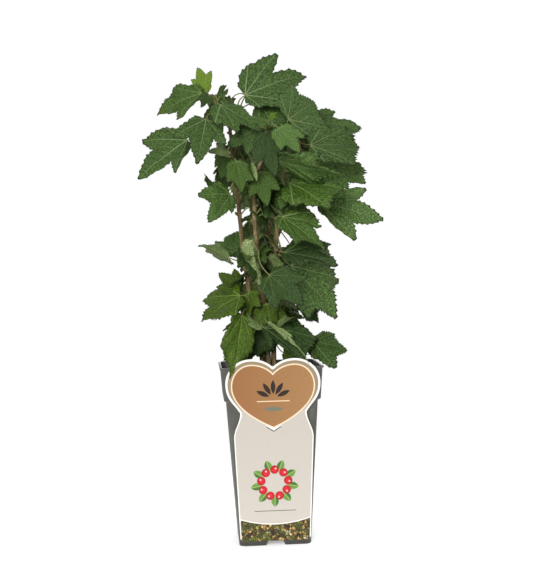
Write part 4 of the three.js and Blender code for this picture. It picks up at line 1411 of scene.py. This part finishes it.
# Single leaves that differ from their spray: the finish of the upper face, by the leaf's number.
odd_tones = {
    "leaves_top_left": {4: green, 5: young},
    "leaves_left": {0: fresh, 1: pale},
    "leaves_middle_left": {0: fresh},
    "leaves_lower_left": {0: under_side, 1: fresh},
    "leaves_low_left": {0: deep, 1: under_side, 5: deep},
    "leaves_top": {1: fresh},
    "leaves_front": {1: deep, 2: fresh, 3: fresh, 4: young},
    "leaves_middle": {1: pale},
    "leaves_centre": {0: pale, 1: deep},
    "leaves_upper_right": {0: fresh},
    "leaves_right": {1: fresh, 3: fresh},
    "leaves_middle_right": {0: fresh, 1: deep},
    "leaves_low_right": {1: cool, 2: deep, 3: under_side, 4: deep, 5: pale},
}
# How tightly a single leaf curls round its midrib. The others lie open.
curls = {
    ("leaves_left", 1): 3.0, ("leaves_lower_left", 0): 0.8, ("leaves_low_left", 1): 5.0,
    ("leaves_middle", 1): 8.0, ("leaves_centre", 0): 7.0, ("leaves_low_right", 3): 5.0,
    ("leaves_low_right", 5): 6.0,
}
print("leaves with a finish of their own:", sum(len(tones) for tones in odd_tones.values()))

# %% Make the masses
# A spur that starts past this share of its stem goes on from the stem's tip.
tip_share = 0.985


def spur_line(stem, height, end):
    """The spur's middle line: square out of the stem's side at a height, or on from its tip, to its
    end. Its first point lies inside the stem, so the two join."""
    line = stem_lines[stem]
    at = min(int(np.searchsorted(line[:, 2], height)), len(line) - 1)
    share = at / stem_steps
    along = np.gradient(line, axis=0)[at]
    along /= np.linalg.norm(along)
    out = along
    side = 0
    if share < tip_share:
        out = np.array(end) - line[at]
        out = out - along * (out @ along)
        out /= np.linalg.norm(out)
        side = stem_radius + (stem_tip_radius - stem_radius) * share
    root = line[at] + out * (side + clear)
    return smooth_line([root - 1.5 * out, root, root + 3 * out, end], spur_steps)


twig_shapes, stalk_shapes = [], []
for name, (stem, height, end, rows) in masses.items():
    spur = spur_line(stem, height, end)
    share = np.linspace(0, 1, len(spur))
    spur_radius = 1.5 - 0.4 * share + 1.0 * np.exp(-((share / 0.06) ** 2))
    spur_radius *= np.sqrt(np.clip((1.01 - share) / 0.05, 0.05, 1))
    relief = bark_relief(spur, spur_sides, spur_seed + len(twig_shapes))
    twig_shapes.append(limb(spur, spur_radius, spur_sides, relief))
    tiles_across = int(np.ceil(np.sqrt(2 * len(rows))))
    leaves = []
    for number, row in enumerate(rows):
        root = spur[int(round(spur_steps * (0.45 + 0.5 * (number + 1) / len(rows))))]
        stalk_shapes.append(stalk_shape(root, row))
        tone = odd_tones.get(name, {}).get(number, spray_tones.get(name, green))
        leaves.append(leaf_shape(row, tone, 2 * number, tiles_across, curls.get((name, number), 0.0)))
    add_piece(name.replace("leaves_", "foliage_"), joined(leaves), leaf_finishes, [name])

# %% [markdown]
# ## Leaves inside the crown
# Most leaves of the bush sit close to the stems, inside the shell of leaves that one sees first. They
# follow the same rule as the far side, once round each stem: an even rise, a heading turned on by the
# golden angle, and seeded chances. A leaf stays in a box round the stems, so the crown grows no wider,
# and it is left out where it would close a place through which the picture shows the background.

# %% Make the inner leaves
# Stem, number of leaves, lowest and highest start, and seed.
inner_rule = {
    "stem_left": (12, 216, 452, 61),
    "stem_middle": (15, 222, 446, 71),
    "stem_right": (14, 226, 450, 83),
    "stem_back": (9, 230, 452, 97),
}
inner_box = np.array([[-42, -40, 204], [56, 60, 500]])
inner_width = 1.05


def inner_rows(line, count, low, high, seed):
    """Rows of inner leaves: each takes up to twelve draws, with a steeper hang each time, until it lies
    in the box and leaves the open places open."""
    chance = chances(seed)
    rows = []
    for k in range(count):
        for trial in range(12):
            height = low + (high - low) * (k + next(chance)) / count
            heading = golden_angle * k + seed * 40 + 60 * (next(chance) - 0.5) + 25 * trial
            out = 9 + 10 * next(chance)
            at = min(int(np.searchsorted(line[:, 2], height)), stem_steps)
            way = np.array([np.cos(np.radians(heading)), np.sin(np.radians(heading)), 0])
            start = line[at] + out * way + [0, 0, 4 * next(chance)]
            climb = -22 - 38 * next(chance) - 2.5 * trial
            roll = -35 + 70 * next(chance)
            length = (36 + 18 * next(chance)) * (1 - 0.03 * trial)
            row = [*start, heading % 360, climb, roll, length, inner_width]
            turn = turn_matrix(*row[3:6])
            points = blade_faces(length, inner_width, all_shares(row), 1)[0] @ turn.T + start
            boxed = (points > inner_box[0]).all() and (points < inner_box[1]).all()
            if boxed and stays_open(points):
                rows.append((at, row))
                break
    return rows


for name, (count, low, high, seed) in inner_rule.items():
    line = stem_lines[name]
    found = inner_rows(line, count, low, high, seed)
    tiles_across = int(np.ceil(np.sqrt(2 * len(found))))
    leaves = []
    for number, (at, row) in enumerate(found):
        back = max(at - 6, 0)
        stalk_shapes.append(stalk_shape(line[back], row))
        tone = warm if row[2] < 270 else (deep, green)[number % 2]
        leaves.append(leaf_shape(row, tone, 2 * number, tiles_across, 0.0, 2))
    add_piece(name.replace("stem_", "inner_foliage_"), joined(leaves), leaf_finishes)

# %% Make the buds, spurs and stalks
def bud_shape(place, way, long):
    """A pointed bud: round sections whose radius grows, then falls to the tip."""
    share = np.linspace(0, 1, 9)
    line = place + share[:, None] * long * way
    radius = long * 0.3 * np.sin(np.pi * np.clip(share * 0.86 + 0.12, 0, 1)) ** 0.8
    return limb(line, np.maximum(radius, 0.05), 8)


bud_shapes = []
for seed, line in enumerate(stem_lines.values(), start=bud_seed):
    draw = np.random.default_rng(seed)
    first, second = carried_frames(line)
    for number, at in enumerate(range(18, stem_steps - 4, 15)):
        turn = np.radians(golden_angle * number) + draw.uniform(-0.4, 0.4)
        out = np.cos(turn) * first[at] + np.sin(turn) * second[at]
        upward_way = np.gradient(line, axis=0)[at]
        way = out * 0.75 + upward_way / np.linalg.norm(upward_way)
        way /= np.linalg.norm(way)
        radius = stem_radius + (stem_tip_radius - stem_radius) * at / stem_steps
        bud_shapes.append(bud_shape(line[at] + 0.7 * radius * out, way, draw.uniform(4, 7)))
add_piece("stem_buds", joined(bud_shapes), [twig_bark])
add_piece("leaf_spurs", joined(twig_shapes), [twig_bark])
add_piece("leaf_stalks", joined(stalk_shapes), [stalk_green])

# %% [markdown]
# ## The stage
# A plain white floor and soft light from all sides, as in a picture for a shop: a bright sky, a large
# lamp in front, a little to the left and above the plant, a weak one from the right, and one behind,
# so that the far side is lit too.

# %% Floor and light
def stage_floor():
    """A flat square under the pot."""
    half = 20000
    corners = np.array([[[-half, -half, 0], [half, -half, 0]], [[-half, half, 0], [half, half, 0]]])
    return grid(corners.astype(float), flip=True)


floor_finish = new_finish("studio_floor", base_color=tint(252, 252, 252), roughness=0.8,
                          emission_color=(1, 1, 1, 1), emission_strength=0.36)
floor_mesh = bpy.data.meshes.new("studio_floor")
flat = stage_floor()
floor_mesh.from_pydata((flat["points"] * MM).tolist(), [], flat["quads"].tolist())
floor_mesh.materials.append(floor_finish)
floor = bpy.data.objects.new("studio_floor", floor_mesh)
bpy.context.scene.collection.objects.link(floor)

# Far from the lamps the floor fades into the white sky, so that no horizon shows.
far_away = add(floor_finish, "VectorMath", {0: on_object(floor_finish)}, operation="LENGTH").outputs["Value"]
wear(floor_finish, alpha=spread(floor_finish, far_away, 0.16, 0.6, 1, 0))

sky = bpy.data.worlds.new("studio_sky")
sky.use_nodes = True
bpy.context.scene.world = sky
backdrop = sky.node_tree.nodes["Background"]
backdrop.inputs["Color"].default_value = (1, 1, 1, 1)
light_path = sky.node_tree.nodes.new("ShaderNodeLightPath")
seen_or_lit = sky.node_tree.nodes.new("ShaderNodeMapRange")
seen_or_lit.inputs["To Min"].default_value = 0.42
seen_or_lit.inputs["To Max"].default_value = 1.0
sky.node_tree.links.new(light_path.outputs["Is Camera Ray"], seen_or_lit.inputs["Value"])
sky.node_tree.links.new(seen_or_lit.outputs[0], backdrop.inputs["Strength"])
bpy.context.scene.view_settings.view_transform = "Standard"


def soft_lamp(name, place, aim, size, power):
    """A square lamp in metres that faces its aim."""
    light = bpy.data.lights.new(name, "AREA")
    light.size = size
    light.energy = power
    lamp = bpy.data.objects.new(name, light)
    lamp.location = place
    lamp.rotation_euler = (Vector(aim) - Vector(place)).to_track_quat("-Z", "Y").to_euler()
    bpy.context.scene.collection.objects.link(lamp)


plant_middle = (0, 0, 0.33)
soft_lamp("key_lamp", (-0.7, -1.9, 0.9), plant_middle, 1.0, 37)
soft_lamp("fill_lamp", (1.6, -1.2, 0.9), plant_middle, 1.2, 6)
soft_lamp("back_lamp", (0.4, 1.9, 1.1), plant_middle, 1.4, 24)
